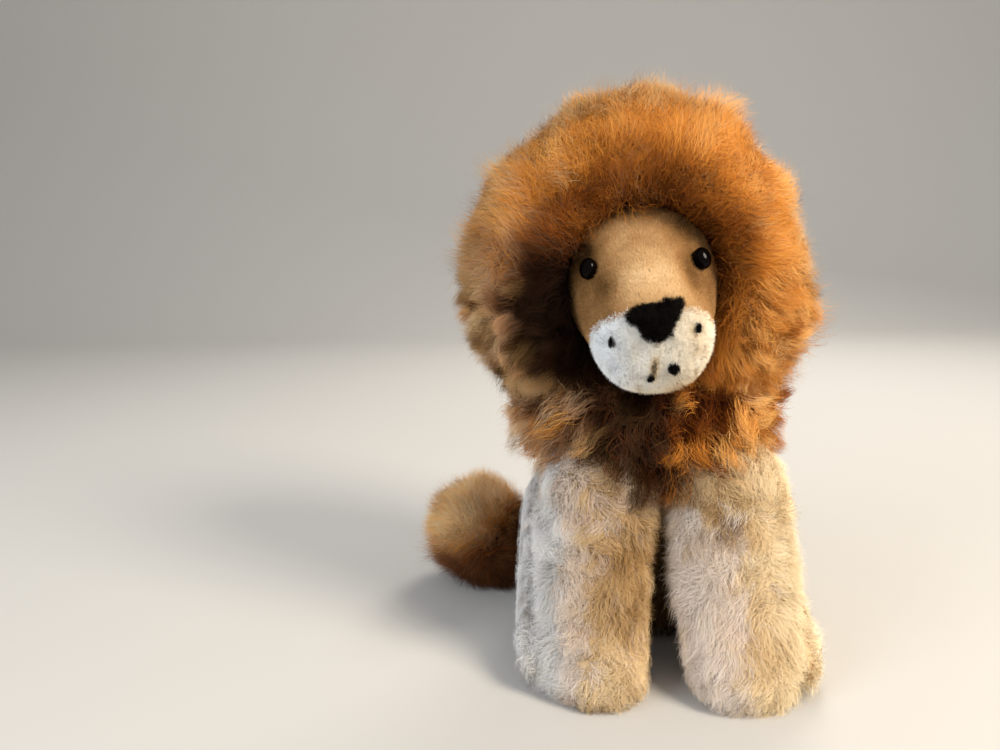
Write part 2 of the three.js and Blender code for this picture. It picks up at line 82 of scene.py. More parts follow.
# Place along Y, half width, half height, and the middle's place across and up
HIND_LEG = [(47, 5, 10, 51, 33), (39, 12, 24, 51.5, 33), (24, 15.5, 33, 52, 34), (6, 16.5, 36.5, 52.3, 35.5),
            (-14, 15, 32, 53.8, 31), (-34, 11, 22, 58, 21), (-54, 8, 15, 60.5, 14),
            (-74, 7.6, 13.5, 59.4, 12.5), (-86, 5.5, 10, 58.6, 10), (-90, 2.5, 5, 58, 9)]
# In the head's own frame: place ahead, half width, half height, and the middle's height
HEAD = [(-39, 8, 9, 0), (-33, 22, 24, 0), (-17, 31, 34, 0), (0, 33, 36, -1), (16, 32, 33.5, -3),
        (29, 28.5, 27.5, -8.5), (40, 25, 25, -15), (50, 23.5, 22.5, -18.5), (58, 19.5, 18, -21),
        (63, 10, 9, -21.5)]
HEAD_CENTRE = np.array([-9.0, -35.0, 177.0])
HEAD_TILT, HEAD_NOD = 3.9, 4.0
MUZZLE_CENTRE = np.array([0.2, -56.0, -25.0])
MUZZLE_RADII = np.array([26.8, 22.0, 19.2])
MUZZLE_POWER = 2.3
# Height, half width and half depth
MANE = [(112, 60, 40), (128, 71, 46), (148, 78, 50), (170, 80.5, 52), (194, 79.5, 51), (216, 71.5, 47),
        (236, 59, 39), (251, 43, 29), (259.5, 26, 18), (262.5, 6, 5)]
MANE_CENTRE = np.array([-10.0, -26.0, 178.0])
MANE_RADII = np.array([80.5, 52.0, 84.5])
TUFTS, TUFT_SWEEP = 13, 0.05
FACE_DISH = np.array([-8.0, -100.0, 170.0])
FACE_DISH_RADII = np.array([62.0, 58.0, 68.0])
NECK, NECK_RADII = np.array([-3.0, -30.0, 133.0]), (24.0, 24.0, 22.0)
TAIL_ROUTE = [(0, 51, 14), (-8, 63, 13), (-28, 73, 11), (-52, 73, 11.5), (-71, 61, 14), (-82, 47, 17)]
TAIL_RADIUS = 5.4
TUFT_CENTRE = np.array([-97.0, 22.0, 31.0])
TUFT_RADII = np.array([25.0, 30.0, 31.5])
# How far the woven skins lie under the furry outlines, and the lowest height of a skin and of a strand
SKIN_DEPTH, SKIN_FLOOR, STRAND_FLOOR = 3.4, 0.6, 0.25
DOWN = np.array([0.0, 0.0, -1.0])
SIDES = (("left", 1), ("right", -1))


def srgb(red, green, blue):
    """A colour read off as 0 to 255, as Blender's linear values."""
    parts = [v / 255 for v in (red, green, blue)]
    return tuple(v / 12.92 if v <= 0.04045 else ((v + 0.055) / 1.055) ** 2.4 for v in parts) + (1.0,)


def unit(v):
    return v / np.maximum(np.linalg.norm(v, axis=-1, keepdims=True), 1e-9)


def smooth(low, high, v):
    t = np.clip((v - low) / (high - low), 0, 1)
    return t * t * (3 - 2 * t)


def blob(points, centre, size):
    """A soft bump, 1 at its centre."""
    return np.exp(-(((points - np.array(centre)) / np.array(size)) ** 2).sum(axis=-1))


def bumps(points, table):
    """The sum of soft bumps, each given by its height, centre and size."""
    return sum(height * blob(points, centre, size) for height, centre, size in table)


# Whole numbers that turn a place on a grid into a random value
HASH_PRIMES = (73856093, 19349663, 83492791)
HASH_FACTOR, HASH_MASK, HASH_VALUES = 1274126177, 0x7FFFFFFF, 10007
SEED_STEP = 17.31


def noise(points, size, seed):
    """Smooth noise from 0 to 1, with features about size across."""
    q = np.asarray(points) / size + seed * SEED_STEP
    cell = np.floor(q).astype(np.int64)
    f = q - cell
    f = f * f * (3 - 2 * f)
    total = 0
    for corner in range(8):
        step = np.array([corner & 1, corner >> 1 & 1, corner >> 2 & 1])
        a, b, c = ((cell + step)[..., k] * HASH_PRIMES[k] for k in range(3))
        mixed = a ^ b ^ c
        mixed = (mixed ^ (mixed >> 13)) * HASH_FACTOR & HASH_MASK
        value = (mixed % HASH_VALUES) / HASH_VALUES
        total = total + value * np.prod(np.where(step, f, 1 - f), axis=-1)
    return total


def mottle(points, size, seed):
    return noise(points, size, seed) - 0.5


def swirl(points, size, seed):
    """Smooth wandering directions, about -1 to 1 each way."""
    return np.stack([noise(points, size, seed + k) for k in (0.0, 3.7, 7.9)], axis=-1) * 2 - 1


def between(a, b, c, d, f):
    """A Catmull-Rom value at f between b and c."""
    return b + 0.5 * f * ((c - a) + f * ((2 * a - 5 * b + 4 * c - d) + f * (3 * b - a - 3 * c + d)))


def spline_rows(rows, count):
    """Rows between the driving rows, by Catmull-Rom in each column."""
    rows = np.asarray(rows, float)
    place = np.linspace(0, len(rows) - 1, count)
    first = np.minimum(place.astype(int), len(rows) - 2)
    near = (rows[np.clip(first + k, 0, len(rows) - 1)] for k in (-1, 0, 1, 2))
    return between(*near, (place - first)[:, None])


def angles(sides):
    return np.arange(sides) / sides * 2 * np.pi


def ring(wide, deep, sides, power=2.2):
    """A closed outline between an oval and a rounded box, by its power."""
    c, s = np.cos(angles(sides)), np.sin(angles(sides))
    u = np.sign(c) * np.abs(c) ** (2 / power)
    v = np.sign(s) * np.abs(s) ** (2 / power)
    return max(wide, 0.2) * u, max(deep, 0.2) * v


def inside(tree, points):
    """Which points lie inside a closed skin."""
    found = []
    for p in points.tolist():
        spot, normal, _, _ = tree.find_nearest(p)
        found.append((Vector(p) - spot).dot(normal) < 0)
    return np.array(found)


class Skin:
    """A closed skin in millimetres."""

    def __init__(self, points, quads, tris):
        self.points, self.quads, self.tris = points, quads, tris

    @classmethod
    def over(cls, rings):
        """A skin over rings of points, closed at both ends."""
        rings = np.asarray(rings, float)
        count, sides = rings.shape[:2]
        index = np.arange(count * sides).reshape(count, sides)
        turn = np.roll(index, -1, axis=1)
        quads = np.stack([index[:-1], turn[:-1], turn[1:], index[1:]], axis=-1).reshape(-1, 4)
        ends = np.array([rings[0].mean(axis=0), rings[-1].mean(axis=0)])
        low, high = count * sides, count * sides + 1
        caps = [np.stack([np.full(sides, low), turn[0], index[0]], axis=-1)]
        caps.append(np.stack([np.full(sides, high), index[-1], turn[-1]], axis=-1))
        skin = cls(np.concatenate([rings.reshape(-1, 3), ends]), quads, np.concatenate(caps))
        if skin.volume() < 0:
            skin.quads, skin.tris = skin.quads[:, ::-1], skin.tris[:, ::-1]
        return skin

    def posed(self):
        """The same skin, from the head's frame to the lion's."""
        return Skin(to_lion(self.points), self.quads, self.tris)

    def triangles(self):
        q = self.quads
        return np.concatenate([q[:, [0, 1, 2]], q[:, [0, 2, 3]], self.tris])

    def volume(self):
        a, b, c = (self.points[self.triangles()[:, k]] for k in range(3))
        return np.einsum("ij,ij->i", a, np.cross(b, c)).sum() / 6

    def normals(self):
        t = self.triangles()
        a, b, c = (self.points[t[:, k]] for k in range(3))
        face = np.cross(b - a, c - a)
        out = np.zeros_like(self.points)
        for k in range(3):
            np.add.at(out, t[:, k], face)
        return unit(out)

    def tree(self):
        return BVHTree.FromPolygons(self.points.tolist(), self.triangles().tolist())

    def scatter(self, count, rng, weight=None):
        """Points spread over the skin with their normals; weight gives the share kept at each point."""
        t = self.triangles()
        a, b, c = (self.points[t[:, k]] for k in range(3))
        area = np.linalg.norm(np.cross(b - a, c - a), axis=1) / 2
        if weight is not None:
            area = area * np.clip(weight((a + b + c) / 3), 0, None)
        normals = self.normals()
        pick = rng.choice(len(t), int(count * SHARE), p=area / area.sum())
        u, v = rng.random((2, len(pick)))
        over = u + v > 1
        u[over], v[over] = 1 - u[over], 1 - v[over]
        shares = np.stack([1 - u - v, u, v], axis=-1)[..., None]
        return (self.points[t[pick]] * shares).sum(axis=1), unit((normals[t[pick]] * shares).sum(axis=1))


# A pile's material with how many families of colour it holds side by side, and what wears the pile
Pile = namedtuple("Pile", "material families")
Coat = namedtuple("Coat", "body slot pile")


def shade(pile, tone, family=0):
    """Where a tone from 0 to 1 of a colour family lies across the pile's colours."""
    return (family + 0.03 + 0.92 * np.clip(tone, 0, 1)) / pile.families


def link(name, data):
    obj = bpy.data.objects.new(name, data)
    bpy.context.scene.collection.objects.link(obj)
    return obj


def build(name, points, faces, uv, normals=None):
    """A smooth mesh object from points in millimetres, face groups and one UV for each point."""
    mesh = bpy.data.meshes.new(name)
    corners = np.concatenate([f.ravel() for f in faces])
    totals = np.concatenate([np.full(len(f), f.shape[1]) for f in faces])
    starts = np.concatenate([[0], np.cumsum(totals)[:-1]])
    mesh.vertices.add(len(points))
    mesh.loops.add(len(corners))
    mesh.polygons.add(len(totals))
    mesh.vertices.foreach_set("co", (points / 1000).astype(np.float32).ravel())
    mesh.polygons.foreach_set("loop_start", starts.astype(np.int32))
    mesh.polygons.foreach_set("vertices", corners.astype(np.int32))
    mesh.polygons.foreach_set("use_smooth", np.ones(len(totals), bool))
    layer = mesh.uv_layers.new(name="OFBake")
    layer.data.foreach_set("uv", uv[corners].astype(np.float32).ravel())
    mesh.update(calc_edges=True)
    mesh.validate()
    if normals is not None:
        soft = mesh.attributes.new("custom_normal", "FLOAT_VECTOR", "POINT")
        soft.data.foreach_set("vector", normals.astype(np.float32).ravel())
    return link(name, mesh)


def place(obj, body, slot, material, replaces=(), fill=None):
    obj.data.materials.append(material)
    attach(obj, body)
    if replaces:
        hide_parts(*replaces)


def skin_object(name, skin, tone, coat, stands_for, fill, family=0):
    """The cloth under a pile, in the pile's colours near their roots."""
    tone = np.broadcast_to(tone, len(skin.points))
    uv = np.stack([shade(coat.pile, tone, family), np.full(len(tone), 0.03)], axis=-1)
    # No face may have an empty area in the UV map
    uv[:, 1] += 0.002 * (np.arange(len(tone)) % 3)
    obj = build(name, skin.points, [skin.quads, skin.tris], uv)
    place(obj, coat.body, coat.slot, coat.pile.material, [stands_for], fill)


# Pile

# Share of a strand's width at each row from root to tip, by its number of segments
TAPER = {
    2: [1, 0.8, 0],
    3: [1, 0.95, 0.7, 0],
    4: [1, 1, 0.85, 0.55, 0],
    5: [1, 1, 0.92, 0.75, 0.45, 0],
    8: [1, 1, 1, 0.95, 0.9, 0.8, 0.65, 0.4, 0],
}


def kd_tree(points):
    tree = KDTree(len(points))
    for i, p in enumerate(points):
        tree.insert(p, i)
    tree.balance()
    return tree


def nearest(points, guides):
    tree = kd_tree(guides)
    return np.array([tree.find(p)[1] for p in points])


def covered(roots, neighbours=4, samples=400):
    """Rough area that the roots cover, from the distance to a few neighbours."""
    tree = kd_tree(roots)
    gaps = [tree.find_n(p, neighbours + 1)[-1][2] for p in roots[:: max(1, len(roots) // samples)]]
    return len(roots) * math.pi * np.mean(np.square(gaps)) / neighbours


def bent(roots, normals, aims, lengths, segments, bend):
    """Paths that leave along the normal and turn toward their aim."""
    path = [roots]
    for k in range(segments):
        share = np.clip(bend * ((k + 0.5) / segments) ** 0.7, 0, 1)
        way = unit(normals * (1 - share) + aims * share)
        path.append(path[-1] + way * (lengths / segments)[:, None])
    return np.stack(path, axis=1)


# How a pile grows: a strand's width and segments, how far it turns to its aim and how frizzy it is; the
# distance between locks, how strongly they gather their strands, how they differ in aim, and the share that
# strays; how far and how often they twist, how they blend, and how they differ in facing and in length
Style = namedtuple("Style", "width segments bend frizz gap pull spread stray wave turns blur lean vary")
STYLES = {
    "foreleg": Style(0.17, 4, 0.85, 0.36, 5.5, 0.54, 0.5, 0.2, 1.9, 1.0, 0.2, 0.24, 0.24),
    "hindleg": Style(0.2, 4, 0.85, 0.36, 5.5, 0.55, 0.45, 0.14, 1.5, 1.2, 0.2, 0.26, 0.2),
    "torso": Style(0.22, 4, 0.85, 0.36, 5.5, 0.55, 0.45, 0.14, 1.5, 1.2, 0.2, 0.26, 0.2),
    "ruff": Style(0.2, 5, 0.9, 0.17, 7, 0.8, 0.5, 0.15, 2.6, 0.9, 0.15, 0.5, 0.2),
    "ruff curls": Style(0.13, 8, 0.8, 0.2, 6, 0.3, 0.7, 0.06, 3.4, 1.4, 0.2, 0.4, 0.12),
    "face": Style(0.24, 2, 0.9, 0.3, 2.2, 0.2, 0.3, 0.06, 0.0, 1.2, 0.2, 0.1, 0.12),
    "muzzle": Style(0.18, 3, 0.9, 0.35, 2.2, 0.36, 0.7, 0.06, 0.432, 1.0, 0.2, 0.1, 0.12),
    "nose": Style(0.2, 3, 0.9, 0.35, 1.6, 0.5, 0.7, 0.06, 0.416, 1.0, 0.2, 0.3, 0.12),
    "spot": Style(0.17, 3, 0.9, 0.35, 1.2, 0.5, 0.7, 0.06, 0.24, 1.0, 0.2, 0.3, 0.12),
    "mane": Style(0.16, 5, 0.9, 0.17, 9.5, 0.58, 0.36, 0.26, 2.6, 0.75, 0.5, 0.16, 0.32),
    "fluff": Style(0.14, 5, 0.9, 0.25, 6, 0.4, 0.5, 0.2, 3.2, 1.1, 0.4, 0.15, 0.25),
    "wisps": Style(0.13, 5, 0.85, 0.26, 10, 0.6, 0.4, 0.06, 2.8, 0.9, 0.3, 0.15, 0.25),
    "locks": Style(0.18, 5, 0.9, 0.16, 8, 0.82, 0.5, 0.14, 3.0, 0.8, 0.1, 0.5, 0.2),
    "ringlets": Style(0.13, 8, 0.8, 0.22, 6, 0.3, 0.7, 0.06, 3.2, 1.4, 0.2, 0.4, 0.12),
    "fringe": Style(0.12, 8, 0.7, 0.25, 6, 0.3, 0.7, 0.06, 2.4, 1.2, 0.2, 0.4, 0.12),
    "tail": Style(0.22, 3, 0.85, 0.22, 4, 0.5, 0.25, 0.06, 0.5, 1.2, 0.2, 0.28, 0.12),
    "tuft": Style(0.17, 5, 0.85, 0.3, 7, 0.5, 0.35, 0.25, 2.0, 0.8, 0.4, 0.15, 0.3),
}


def grow(roots, normals, aims, lengths, rng, style):
    """Strands gathered into locks. Returns the paths and each strand's lock."""
    _, segments, bend, frizz, gap, pull, spread, stray, wave, turns, blur, _, vary = style
    count = len(roots)
    spots = min(count, max(8, int(covered(roots) / gap**2)))
    guides = rng.choice(count, spots, replace=False)
    guide_aims = unit(aims[guides] + rng.normal(size=(spots, 3)) * spread)
    guide_lengths = lengths[guides] * np.clip(1 + rng.normal(size=spots) * vary, 0.6, 1.4)
    guide_paths = bent(roots[guides], normals[guides], guide_aims, guide_lengths, segments, bend)
    owner = nearest(roots + rng.normal(size=roots.shape) * gap * blur, roots[guides])
    t = np.linspace(0, 1, segments + 1)[None, :, None]
    own = bent(roots, unit(normals + rng.normal(size=normals.shape) * frizz),
               unit(aims + rng.normal(size=aims.shape) * (frizz + spread * 0.4)), lengths, segments, bend)
    gather = np.where(rng.random(count) < stray, 0.15, 1.0)[:, None, None] * pull * t**0.9
    offset = (roots - roots[guides][owner])[:, None, :]
    locked = guide_paths[owner] + offset * (1 - gather * 0.9)
    stretch = (lengths / guide_lengths[owner])[:, None, None]
    locked = roots[:, None, :] + (locked - roots[:, None, :]) * (1 + (stretch - 1) * 0.4)
    path = own * (1 - gather) + locked * gather
    if wave:
        along = unit(guide_paths[:, -1] - guide_paths[:, 0])[owner]
        side = unit(np.cross(along, rng.normal(size=(spots, 3))[owner]))
        other = np.cross(along, side)
        start = rng.random(spots)[owner] * 2 * np.pi + rng.normal(size=count) * 0.5
        angle = start[:, None, None] + 2 * np.pi * turns * t
        path = path + wave * t * (side[:, None] * np.cos(angle) + other[:, None] * np.sin(angle))
    path[:, 1:] += rng.normal(size=path[:, 1:].shape) * frizz * (lengths / segments * 0.35)[:, None, None]
    return path, owner


def held_down(path, normals, cap):
    """Paths pressed softly under a height of cap over their roots."""
    rise = np.einsum("nkj,nj->nk", path - path[:, :1], normals)
    cap = cap[:, None]
    extra = np.maximum(rise, 0) - cap * np.tanh(np.maximum(rise, 0) / cap)
    return path - extra[..., None] * normals[:, None]


def strands_object(name, path, facing, across, width, rng, coat):
    """Flat tapering ribbons along the paths, lit as the fur's own surface is, as one piece."""
    count, rows = path.shape[:2]
    wide_rows = rows - 1
    path[..., 2] = np.maximum(path[..., 2], STRAND_FLOOR)
    # Ribbons are turned to the front and up, so that few show their edge to the camera
    turned = facing[:, None] + rng.normal(size=(count, 1, 3)) * 0.2 + np.array([0, -0.3, 0.25])
    along = unit(np.gradient(path, axis=1))
    side = unit(np.cross(along, turned))
    taper = np.array(TAPER[wide_rows])[None, :, None] * width * WIDEN / 2
    taper = taper * rng.uniform(0.7, 1.25, (count, 1, 1))
    left, right = path - side * taper, path + side * taper
    pairs = np.stack([left[:, :wide_rows], right[:, :wide_rows]], axis=2).reshape(count, -1, 3)
    points = np.concatenate([pairs, path[:, -1:]], axis=1)
    base = np.arange(count)[:, None] * (2 * wide_rows + 1)
    quads = [base + np.array([2 * k, 2 * k + 1, 2 * k + 3, 2 * k + 2]) for k in range(wide_rows - 1)]
    tips = base + np.array([2 * wide_rows - 2, 2 * wide_rows - 1, 2 * wide_rows])
    v = np.append(np.repeat(np.linspace(0.02, 0.98, rows)[:wide_rows], 2), 0.98)
    u = across[:, None] + np.append(np.tile([0, 0.0015], wide_rows), 0.0007)
    uv = np.stack([u, np.broadcast_to(v, u.shape)], axis=-1).reshape(-1, 2)
    soft = unit(facing[:, None] + np.cross(side, along) * 0.6)
    normals = np.concatenate([np.repeat(soft[:, :wide_rows], 2, axis=1), soft[:, -1:]], axis=1).reshape(-1, 3)
    obj = build(name, points.reshape(-1, 3), [np.concatenate(quads), tips], uv, normals)
    place(obj, coat.body, coat.slot, coat.pile.material)


def fur(name, roots, normals, aims, lengths, paint, rng, coat, style, pieces=1, cap=None, outward=None,
        posed=False):
    """Strands in locks. paint gives tone and family from the paths and each lock's random numbers."""
    style = STYLES[style]
    path, owner = grow(roots, unit(normals + aims), aims, lengths, rng, style)
    if cap is not None:
        path = held_down(path, normals, cap * np.where(rng.random(len(roots)) < 0.1, 1.6, 1.0))
    lock = rng.random((owner.max() + 1, 3))[owner]
    tone, family = paint(path, lock, rng)
    across = shade(coat.pile, tone + rng.normal(size=len(roots)) * 0.035, family)
    facing = normals if outward is None else outward(path)
    tilt = rng.normal(size=(owner.max() + 1, 3))[owner] * style.lean
    facing = unit(facing + tilt + rng.normal(size=roots.shape) * 0.15)
    if posed:
        path, facing = to_lion(path), facing @ HEAD_TURN.T
    for k, chosen in enumerate(np.array_split(np.argsort(roots[:, 2]), pieces)):
        piece = f"{name}_{k + 1}" if pieces > 1 else name
        strands_object(piece, path[chosen], facing[chosen], across[chosen], style.width, rng, coat)


def curls(name, roots, normals, aims, spot, most, lengths, tones, rng, coat, style):
    """A few light curls about a spot, which is given by its centre, its size and how near they lie."""
    centre, size, least = spot
    length, shortest, longest = lengths
    chosen = np.flatnonzero(blob(roots, centre, size) > least)
    chosen = rng.choice(chosen, min(len(chosen), most), replace=False)
    fur(name, roots[chosen], normals[chosen], unit(aims[chosen]),
        length * rng.uniform(shortest, longest, len(chosen)),
        lambda path, lock, rng: (tones[0] + tones[1] * lock[:, 0], 0), rng, coat, style)


def pick(rng, lock, *weights, alike=0.65):
    """A colour family for each strand, alike in a lock for some of them, by weight."""
    share = np.cumsum(np.stack(np.broadcast_arrays(lock, *weights)[1:], axis=1), axis=1)
    chance = np.where(rng.random(len(lock)) < alike, lock, rng.random(len(lock)))
    return (chance[:, None] * share[:, -1:] > share).sum(axis=1).clip(0, share.shape[1] - 1)


# Materials

def ramp(nodes, stops):
    node = nodes.new("ShaderNodeValToRGB")
    band = node.color_ramp
    while len(band.elements) > 1:
        band.elements.remove(band.elements[-1])
    band.elements[0].position, band.elements[0].color = stops[0]
    for position, colour in stops[1:]:
        band.elements.new(position).color = colour
    return node


def new_material(name, roughness, specular):
    material = bpy.data.materials.new(name)
    material.use_nodes = True
    shader = material.node_tree.nodes["Principled BSDF"]
    shader.inputs["Roughness"].default_value = roughness
    shader.inputs["Specular IOR Level"].default_value = specular
    return material, shader, material.node_tree.nodes, material.node_tree.links


def pile_material(name, families, rise=(0.1, 0.85)):
    """Colour by tone and family across, and from root to tip. A family is its root and its tip colours; the
    darker roots are partly painted shade deep in the pile.
    """
    material, shader, nodes, links = new_material(name, 0.9, 0.1)
    where = nodes.new("ShaderNodeUVMap")
    where.uv_map = "OFBake"
    split = nodes.new("ShaderNodeSeparateXYZ")
    links.new(where.outputs["UV"], split.inputs[0])
    amount = nodes.new("ShaderNodeMapRange")
    amount.interpolation_type = "SMOOTHSTEP"
    amount.inputs["From Min"].default_value, amount.inputs["From Max"].default_value = rise
    links.new(split.outputs["Y"], amount.inputs["Value"])
    mix = nodes.new("ShaderNodeMix")
    mix.data_type = "RGBA"
    links.new(amount.outputs["Result"], mix.inputs["Factor"])
    for end, socket in enumerate("AB"):
        stops = []
        for n, family in enumerate(families):
            places = 0.01 + 0.98 * np.linspace(0, 1, len(family[end]))
            stops += [((n + s) / len(families), srgb(*c)) for s, c in zip(places, family[end])]
        band = ramp(nodes, stops)
        links.new(split.outputs["X"], band.inputs["Fac"])
        links.new(band.outputs["Color"], mix.inputs[socket])
    links.new(mix.outputs["Result"], shader.inputs["Base Color"])
    return Pile(material, len(families))


def plain_material(name, colour, roughness, grain=None, specular=0.5):
    material, shader, nodes, links = new_material(name, roughness, specular)
    shader.inputs["Base Color"].default_value = srgb(*colour)
    if grain:
        speck = nodes.new("ShaderNodeTexNoise")
        speck.inputs["Scale"].default_value = grain
        tint = ramp(nodes, [(0.3, srgb(*[v * 0.86 for v in colour])), (0.7, srgb(*colour))])
        links.new(speck.outputs["Fac"], tint.inputs["Fac"])
        links.new(tint.outputs["Color"], shader.inputs["Base Color"])
        bump = nodes.new("ShaderNodeBump")
        bump.inputs["Strength"].default_value = 0.4
        bump.inputs["Distance"].default_value = 0.0004
        links.new(speck.outputs["Fac"], bump.inputs["Height"])
        links.new(bump.outputs["Normal"], shader.inputs["Normal"])
    return material


# Families of colour, each with its root colours and its tip colours, dark to light. The darker roots are
# partly painted shade deep in the pile
GOLDEN_CREAM = (
    [(84, 62, 34), (150, 112, 66), (204, 168, 120), (230, 202, 156), (242, 220, 180)],
    [(112, 86, 50), (188, 148, 96), (234, 204, 156), (250, 230, 190), (255, 244, 216)],
)
PINK_CREAM = (
    [(96, 76, 60), (160, 132, 110), (208, 184, 162), (230, 212, 194), (240, 226, 212)],
    [(124, 100, 82), (200, 172, 148), (240, 222, 204), (250, 238, 226), (255, 250, 244)],
)
# Cool cream is painted cool light: the bluish white of the lion's right side
PAINTED_COOL_LIGHT_CREAM = (
    [(92, 84, 76), (154, 144, 134), (200, 192, 184), (222, 216, 210), (232, 230, 228)],
    [(118, 110, 102), (194, 186, 178), (232, 228, 222), (244, 242, 240), (250, 250, 250)],
)
RUST = (
    [(10, 3, 1), (68, 27, 5), (142, 70, 15), (188, 110, 38), (212, 152, 84)],
    [(24, 9, 3), (136, 70, 20), (222, 142, 56), (242, 184, 104), (252, 222, 170)],
)
MAUVE = (
    [(9, 5, 3), (52, 29, 17), (106, 68, 44), (150, 104, 72), (180, 140, 104)],
    [(24, 13, 8), (118, 78, 52), (190, 142, 102), (224, 184, 142), (242, 214, 178)],
)
BLOND = (
    [(18, 11, 6), (78, 54, 28), (138, 102, 60), (182, 144, 96), (212, 178, 130)],
    [(38, 26, 13), (128, 96, 56), (198, 160, 108), (230, 198, 150), (248, 226, 186)],
)
CREAM_PILE = pile_material("cream pile", [GOLDEN_CREAM, PINK_CREAM, PAINTED_COOL_LIGHT_CREAM])
MANE_PILE = pile_material("mane pile", [RUST, MAUVE, BLOND], rise=(0.02, 0.66))
FACE_PILE = pile_material("face pile", [(
    [(50, 33, 15), (108, 75, 40), (164, 121, 75), (206, 167, 117), (236, 203, 158)],
    [(62, 41, 20), (122, 86, 48), (176, 132, 84), (216, 178, 128), (244, 214, 170)],
)])
WHITE_PILE = pile_material("muzzle wool", [(
    [(66, 54, 40), (206, 176, 136), (244, 228, 200), (252, 244, 232), (246, 249, 255)],
    [(96, 80, 60), (240, 212, 170), (255, 244, 222), (255, 253, 247), (252, 254, 255)],
)])
BLACK_PILE = pile_material("nose wool", [([(5, 3, 3), (7, 5, 4)], [(9, 6, 5), (24, 18, 15)])])
BEAD = plain_material("eye bead", (6, 3, 2), 0.05, specular=0.07)
PLASTIC = plain_material("washer plastic", (226, 222, 212), 0.5)
CLOTH = plain_material("backing cloth", (214, 200, 176), 0.95, grain=900)
FIBRE = plain_material("stuffing fibre", (240, 238, 232), 1.0, grain=400)

TORSO_COAT = Coat("torso", "cream_fur", CREAM_PILE)
RUFF_COAT = Coat("torso", "brown_fur", MANE_PILE)
NECK_COAT = Coat("neck_sleeve", "cream_fur", CREAM_PILE)
FACE_COAT = Coat("head", "tan_face_fur", FACE_PILE)
MUZZLE_COAT = Coat("head", "white_muzzle_fur", WHITE_PILE)
NOSE_COAT = Coat("head", "black_wool", BLACK_PILE)
MANE_COAT = Coat("head", "rust_fur", MANE_PILE)
TAIL_COAT = Coat("tail", "cream_fur", CREAM_PILE)
TUFT_COAT = Coat("tail_tip", "brown_fur", MANE_PILE)

# Head pose
TILT, NOD = math.radians(-HEAD_TILT), math.radians(HEAD_NOD)
TURN_Y = np.array([[math.cos(TILT), 0, math.sin(TILT)], [0, 1, 0], [-math.sin(TILT), 0, math.cos(TILT)]])
TURN_X = np.array([[1, 0, 0], [0, math.cos(NOD), -math.sin(NOD)], [0, math.sin(NOD), math.cos(NOD)]])
HEAD_TURN = TURN_Y @ TURN_X


def to_lion(points):
    return points @ HEAD_TURN.T + HEAD_CENTRE


def to_head(points):
    return (points - HEAD_CENTRE) @ HEAD_TURN


def upright(rows, count, sides=72, inset=0.0, centre=(0.0, 0.0), power=2.2):
    """A skin over level rings, from rows of height, half width, half depth and perhaps a place along Y."""
    rings = []
    for row in spline_rows(rows, count):
        z, wide, deep = row[:3]
        u, v = ring(wide - inset, deep - inset, sides, power)
        y = row[3] if len(row) > 3 else 0.0
        rings.append(np.stack([centre[0] + u, centre[1] + y + v, np.full(sides, z)], axis=-1))
    return Skin.over(rings)


def ball_skin(centre, radii, count=36, sides=48):
    rings = []
    for angle in np.linspace(-math.pi / 2 + 0.05, math.pi / 2 - 0.05, count):
        u, v = ring(radii[0] * math.cos(angle), radii[1] * math.cos(angle), sides, 2.0)
        z = np.full(sides, radii[2] * math.sin(angle))
        rings.append(centre + np.stack([u, v, z], axis=-1))
    return Skin.over(rings)


def off_floor(points):
    """Share of the strands kept: few on the underside, where the lion stands."""
    return smooth(1, 4, points[:, 2]) * 0.97 + 0.03


# Front legs

# Stains and darker places in the tone, by side, and a painted highlight on the front of the right paw
FORELEG_STAINS_AND_HIGHLIGHT = {
    -1: [(-0.1, (-20, -84, 46), (14, 30, 22)), (0.12, (-32, -104, 18), (14, 20, 10)),
         (-0.16, (-40, -100, 2), (16, 20, 6))],
    1: [(-0.2, (26, -88, 74), (11, 30, 9)), (-0.14, (40, -100, 24), (11, 26, 7))],
}


def foreleg_skin(side, sides=56):
    rows = list(spline_rows(FORELEG, 24))
    y, z, radius = SHOULDER
    for angle in np.linspace(0, 0.93, 10) * math.pi / 2:
        across = radius * math.cos(angle)
        rows.append(np.array([z + (radius - SKIN_DEPTH) * math.sin(angle), across, across, y]))
    rings = []
    for z, wide, deep, y in rows:
        u, v = ring(wide - SKIN_DEPTH, deep - SKIN_DEPTH, sides)
        level = np.full(sides, max(z, SKIN_FLOOR))
        rings.append(np.stack([side * FORELEG_X + u, y + v, level], axis=-1))
    return Skin.over(rings)


def foreleg_marks(points, side):
    """Tone of the cream pile: brown inside the right leg, a painted highlight on its paw, a dirty curly patch
    on the left one.
    """
    x, y, z = points.T
    tone = 0.64 + 0.14 * mottle(points, 16, 1) + 0.12 * mottle(points, 6, 2)
    tone += bumps(points, FORELEG_STAINS_AND_HIGHLIGHT[side])
    if side < 0:
        return tone - 0.2 * smooth(-54, -32, x) * smooth(12, 34, z) - 0.03 * smooth(-26, -14, x)
    return tone + 0.12 * smooth(34, 50, x) - 0.16 * smooth(66, 94, z) * smooth(46, 24, x)


def foreleg_paint(side, path, lock, rng):
    """Golden, pink or cool cream; the cool cream on the right leg's outer side is painted cool light."""
    spot = path[:, 2]
    x, y, z = spot.T
    tone = foreleg_marks(spot, side) + (lock[:, 0] - 0.5) * 0.08
    place = noise(spot, 8, 21) * 0.5 + lock[:, 1] * 0.5
    if side < 0:
        golden = smooth(-44, -32, x)
        pink = 0.25 + 0.4 * smooth(60, 90, z) + 0.8 * np.exp(-(((x + 40) / 8) ** 2))
        return tone - 0.06 * golden, pick(rng, place, golden, pink, 1.6 * smooth(-40, -52, x), alike=0.7)
    pink = 0.08 + bumps(spot, [(4, (14, -84, 42), (17, 40, 26)), (2, (20, -100, 6), (10, 30, 12))])
    tone += 0.8 * blob(spot, (26, -88, 74), (13, 30, 11)) * (lock[:, 2] - 0.5)
    return tone, pick(rng, place, 0.9, pink, 0, alike=0.85)


